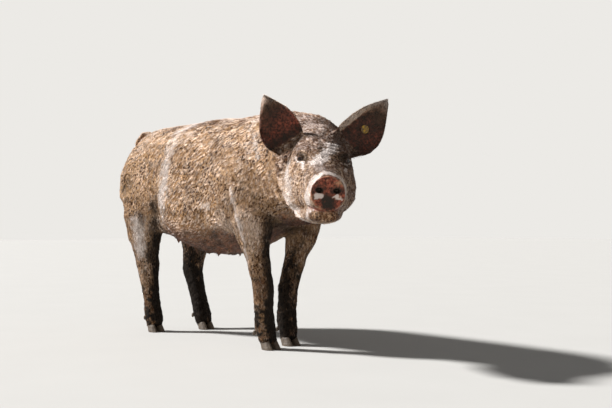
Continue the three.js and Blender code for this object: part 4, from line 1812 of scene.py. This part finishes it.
    def _comb(self) -> None:
        """Lays each tuft on the skin, draws neighbours together in clumps, and picks its length and tint."""
        points, normals, head = self.roots.points, self.roots.normals, self.roots.head
        count = len(points)
        lie = unit(self._lie())
        sideways = np.cross(normals, lie)
        lie = lie + self.swirl * lattice_noise(points, 0.11, 71)[:, None] * sideways
        lie = unit(flattened(lie, normals))
        labels = ("length_mm", "lean", "clump")
        length, lean, clump = (per_part(self.growth, label, self.roots.parts) for label in labels)
        length = length * (1 + 0.5 * step(0.8, 0.95, normals[:, 2]) * step(0.0, 0.35, points[:, 0]))
        short = 0.55 + 0.6 * step(230, 60, head[:, 0]) + 0.5 * step(-70, -100, head[:, 2])
        short = np.where(self.roots.on_head, short, 1.0)
        length = length * short * (0.75 + 0.5 * self.random.random(count))
        centre, key, swing, gap = self._clumps()
        pull = flattened(centre - points, normals)
        heading = lie * length[:, None] * MM + pull * clump[:, None]
        raised = lean * (0.45 + 0.6 * self.random.random(count) + 0.8 * (key - 0.3))
        aside = self.swing * (swing - 0.5)[:, None] * sideways
        heading = unit(heading) + normals * raised[:, None] + aside
        self.heading = unit(heading)
        self.length = length * MM * (0.85 + 0.3 * key) * (1 - 0.25 * gap)
        loose = lattice_noise(points, 0.09, 73)
        speckle = np.clip(0.80 + 0.5 * loose, 0.3, 1) * (1 - 0.75 * self.marks[:, 0])
        # Painted shade: tufts in the hollows of a clump and at its edges are darker.
        hollow = np.maximum(0.5 * step(0.36, 0.26, key), 0.7 * gap)
        spread = 0.38 * (key - 0.5) + 0.22 * (self.random.random(count) - 0.5)
        self.tint = np.clip(0.64 + 0.1 * self.marks[:, 0] + spread - 0.45 * speckle * hollow, 0, 1)

    def _clumps(self) -> tuple[Array, Array, Array, Array]:
        """Finds each root's clump, on a jittered grid that is drawn out along the hair.

        Returns:
            The clump's middle, two random numbers that its tufts share, and how near its edge each root is.
        """
        points = self.roots.points
        size = self.clump_mm * MM
        fine = np.where(on(self.roots.parts, Part.HEAD, Part.EAR, Part.EYE), 1.4, 1.0)[:, None]
        flank, rump, belly = self.slopes
        slope = np.where(points[:, 0] < self.rump_x, rump, flank)
        slope = np.where(points[:, 2] < self.belly_z, belly, slope)
        slope = np.where(self.roots.on_limb, math.pi / 2, slope)
        level, drop = np.cos(slope), np.sin(slope)
        x, y, z = points.T
        squashed = np.stack([-self.drawn * (level * x + drop * z), y, drop * x - level * z], 1) * fine
        cell = np.floor(squashed / size).astype(np.int64)
        best = np.full(len(points), 1e9)
        second = best.copy()
        centre = points.copy()
        shared = np.zeros((len(points), 2))
        for i in range(27):
            near = cell + (i % 3 - 1, i // 3 % 3 - 1, i // 9 - 1)
            draws = [scrambled(near, seed * 40503, 13) for seed in (1, 2, 3, 4, 5)]
            draws = [((h ^ (h >> 16)) & 0xFFFF) / 0xFFFF for h in draws]
            place = (near + np.stack(draws[:3], 1)) * size
            away = np.linalg.norm(squashed - place, axis=1)
            closer = away < best
            second = np.where(closer, best, np.minimum(second, away))
            best = np.where(closer, away, best)
            centre = np.where(closer[:, None], place, centre)
            shared = np.where(closer[:, None], np.stack(draws[3:], 1), shared)
        along, y, aside = (centre / fine).T
        along = -along / self.drawn
        middle = np.stack([level * along + drop * aside, y, drop * along - level * aside], 1)
        return middle, *shared.T, step(0.26, 0.04, (second - best) / size)

    def _regions(self) -> list[tuple[str, Array, Array, Array]]:
        """Splits the roots into pieces.

        Returns:
            For each piece its name, a mask of its roots, and a point and an axis to unwrap it round.
        """
        roots, parts = self.roots, self.roots.parts
        x = roots.points[:, 0]
        along, down = np.array((1.0, 0.0, 0.0)), np.array((0.0, 0.0, 1.0))
        on_left = {"left": roots.on_left, "right": ~roots.on_left}
        head_left = {"left": roots.head[:, 1] > 0, "right": roots.head[:, 1] <= 0}
        middle = np.array((0.0, MID_Y, 0.6))
        rows: list[tuple[str, Array, Array, Array]] = []
        for name, span in (("rear", x <= self.trunk_cut), ("front", x > self.trunk_cut)):
            for side, mine in on_left.items():
                rows.append((f"{name}_{side}", on(parts, Part.TRUNK) & span & mine, middle, along))
        rows.append(("neck", on(parts, Part.NECK), middle_of("neck"), along))
        middle = HEAD.outside(np.array([100.0, 0.0, 10.0]))
        for side, mine in head_left.items():
            rows.append((f"head_{side}", roots.on_head & mine, middle, HEAD.x))
        for side, mine in head_left.items():
            rise = unit(HEAD.ear_rise(1 if side == "left" else -1))
            rows.append((f"ear_{side}", on(parts, Part.EAR) & mine, middle_of(f"ear_{side}"), rise))
        for name, span in (("foreleg", x > self.leg_cut), ("hindleg", x <= self.leg_cut)):
            for side, mine in on_left.items():
                leg = f"{name}_{side}"
                rows.append((leg, roots.on_limb & span & mine, middle_of(leg), down))
        rows.append(("tail", on(parts, Part.TAIL), middle_of("tail"), along))
        return rows

    def _grow(self, name: str, picks: Array, centre: Array, axis: Array, tree: TuftTree) -> Piece:
        """Makes one piece of the coat.

        Args:
            name: The piece's name, without its prefix.
            picks: Which roots it takes.
            centre: A point on the line that it is unwrapped round.
            axis: That line's direction.
            tree: The tree that sets the tufts.

        Returns:
            The finished piece.
        """
        roots, normals, heading = self.roots.points[picks], self.roots.normals[picks], self.heading[picks]
        mesh = bpy.data.meshes.new(f"roots_{name}")
        mesh.vertices.add(len(picks))
        set_points(mesh, roots)
        aside = unit(np.cross(normals, heading))
        store(mesh, "turn", "QUATERNION", quaternions(aside, np.cross(heading, aside), heading))
        store(mesh, "length", "FLOAT", self.length[picks])
        store(mesh, "tint", "FLOAT", self.tint[picks])
        store(mesh, "root_uv", "FLOAT_VECTOR", unwrap(roots, normals, centre, axis))
        store(mesh, "markings", "FLOAT_COLOR", self.marks[picks])
        piece = link(mesh, f"coat_{name}")
        piece.modifiers.new("tufts", "NODES").node_group = tree.tree
        made = baked(piece)
        LOG.info("coat_%s: %d tufts, %d faces", name, len(picks), len(made.polygons))
        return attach(piece, "root")


def unwrap(points: Array, normals: Array, centre: Array, axis: Array) -> Array:
    """Unrolls places on the hide round a line, the two faces of a thin part apart.

    Args:
        points: The places.
        normals: The hide's directions there.
        centre: A point on the line.
        axis: The line's direction.

    Returns:
        Rows of u, v and nought, from 0.01 to 0.99.
    """
    away = points - centre
    along = away @ axis
    side = unit(np.cross(axis, (0.0, 0.31, 0.95) if abs(axis[0]) > 0.5 else (1.0, 0.0, 0.0)))
    blend = unit(away - along[:, None] * axis) + 0.6 * normals
    angle = np.arctan2(blend @ np.cross(axis, side), blend @ side)
    spans = [0.01 + 0.98 * (row - row.min()) / max(row.max() - row.min(), 1e-6) for row in (along, angle)]
    return np.stack([*spans, np.zeros(len(points))], 1)


def quaternions(x: Array, y: Array, z: Array) -> Array:
    """Turns three rows of axes into rotations.

    Args:
        x: Where each rotation sends the x axis.
        y: Where it sends the y axis.
        z: Where it sends the z axis.

    Returns:
        Rows of w, x, y, z.
    """
    (xx, xy, xz), (yx, yy, yz), (zx, zy, zz) = x.T, y.T, z.T
    options = np.array([
        [1 + xx + yy + zz, yz - zy, zx - xz, xy - yx],
        [yz - zy, 1 + xx - yy - zz, xy + yx, zx + xz],
        [zx - xz, xy + yx, 1 - xx + yy - zz, yz + zy],
        [xy - yx, zx + xz, yz + zy, 1 - xx - yy + zz]])
    best = np.argmax(np.einsum("kkn->kn", options), axis=0)
    return unit(options[best, :, np.arange(len(x))])


# ---------- The studio ----------

@dataclass
class Studio:
    """A plain pale floor, soft lamps and the camera."""

    eye: tuple = (2.965, -1.996, 0.435)
    heading: tuple = (-0.788, 0.6157)
    tilt_degrees: float = 1.47
    lens_mm: float = 55.0
    floor_half: float = 30.0
    paints: tuple = ("c1bfbb", "c6c4c0")
    sky: str = "f2f3f5"
    sky_strength: float = 0.12
    backdrop: str = "eceae6"
    # Each lamp's name, the way to it, its strength in watts a square metre, and its width in degrees.
    lamps: tuple = (("key", (-0.64, -0.46, 0.64), 6.5, 6), ("fill", (0.9, -0.45, 0.35), 0.10, 60))

    def build(self) -> None:
        """Sets up the floor, lamps, world and camera."""
        scene = bpy.context.scene
        scene.view_settings.view_transform = "Standard"
        self._floor()
        for name, towards, strength, width in self.lamps:
            self._lamp(name, Vector(towards), strength, width)
        self._sky()
        camera = bpy.data.cameras.new("camera")
        camera.lens = self.lens_mm
        camera.sensor_width = 36.0
        ahead = Vector((*self.heading, math.tan(math.radians(self.tilt_degrees))))
        scene.camera = self._hang("camera", camera, Vector(self.eye), ahead.to_track_quat("-Z", "Y"))

    def _floor(self) -> None:
        """Lays a wide painted floor."""
        mesh = bpy.data.meshes.new("floor")
        half = self.floor_half
        corners = [(-half, -half, 0), (half, -half, 0), (half, half, 0), (-half, half, 0)]
        mesh.from_pydata(corners, [], [(0, 1, 2, 3)])
        material, tree, shader = new_material("matt_floor_paint")
        clouds = noise(tree, place_on(tree), 3.0, 4.0).outputs[0]
        feed(tree, shader, {"Base Color": mix(tree, clouds, *map(linear, self.paints)), "Roughness": 0.9})
        mesh.materials.append(material)
        link(mesh, "floor")

    def _lamp(self, name: str, towards: Vector, strength: float, width: float) -> None:
        """Hangs one far, wide lamp, which lights the sow and the floor evenly.

        Args:
            name: The lamp's name.
            towards: The direction in which it hangs.
            strength: Its strength in watts a square metre.
            width: How wide it looks, in degrees, which softens its shadows.
        """
        light = bpy.data.lights.new(name, "SUN")
        light.energy = strength
        light.angle = math.radians(width)
        self._hang(name, light, towards * 4, towards.to_track_quat("Z", "Y"))

    @staticmethod
    def _hang(name: str, data: bpy.types.ID, place: Vector, turn: object) -> bpy.types.Object:
        """Puts a lamp or the camera in the scene.

        Args:
            name: Its name.
            data: The lamp's or camera's data.
            place: Where it stands.
            turn: Its rotation.

        Returns:
            The new object.
        """
        holder = bpy.data.objects.new(name, data)
        bpy.context.scene.collection.objects.link(holder)
        holder.location = place
        holder.rotation_euler = turn.to_euler()
        return holder

    def _sky(self) -> None:
        """Lights the scene evenly and shows a plain pale backdrop."""
        world = bpy.data.worlds.new("studio")
        bpy.context.scene.world = world
        world.use_nodes = True
        tree = world.node_tree
        tree.nodes.clear()
        rays = add_node(tree, "ShaderNodeLightPath").outputs
        seen = calc(tree, "MAXIMUM", rays["Is Camera Ray"], rays["Is Glossy Ray"])
        soft, shown = (
            add_node(tree, "ShaderNodeBackground", {"Color": linear(code), "Strength": strength})
            for code, strength in ((self.sky, self.sky_strength), (self.backdrop, 1.0)))
        both = add_node(tree, "ShaderNodeMixShader", {0: seen, 1: soft.outputs[0], 2: shown.outputs[0]})
        add_node(tree, "ShaderNodeOutputWorld", {0: both.outputs[0]})


def main() -> None:
    """Builds the sow's hide, eyes, claws, tag and coat, then the studio."""
    logging.basicConfig(level=logging.INFO, format="%(name)s: %(message)s")
    hide = Hide()
    skin = hide.build()
    eye, horn, tag = WetEye().make(), HoofHorn().make(), MouldedTag().make()
    pieces = [skin, *(Eye(side).build(eye) for side in ("left", "right"))]
    pieces += [Claw(node).build(horn) for node in sorted(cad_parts) if "claw" in node]
    pieces += [EarTag().build(tag), *Coat(hide, skin).build()]
    for piece in pieces:
        LOG.info("made %s: %d faces", piece.name, len(piece.data.polygons))
    Studio().build()


if __name__ == "__main__":
    main()
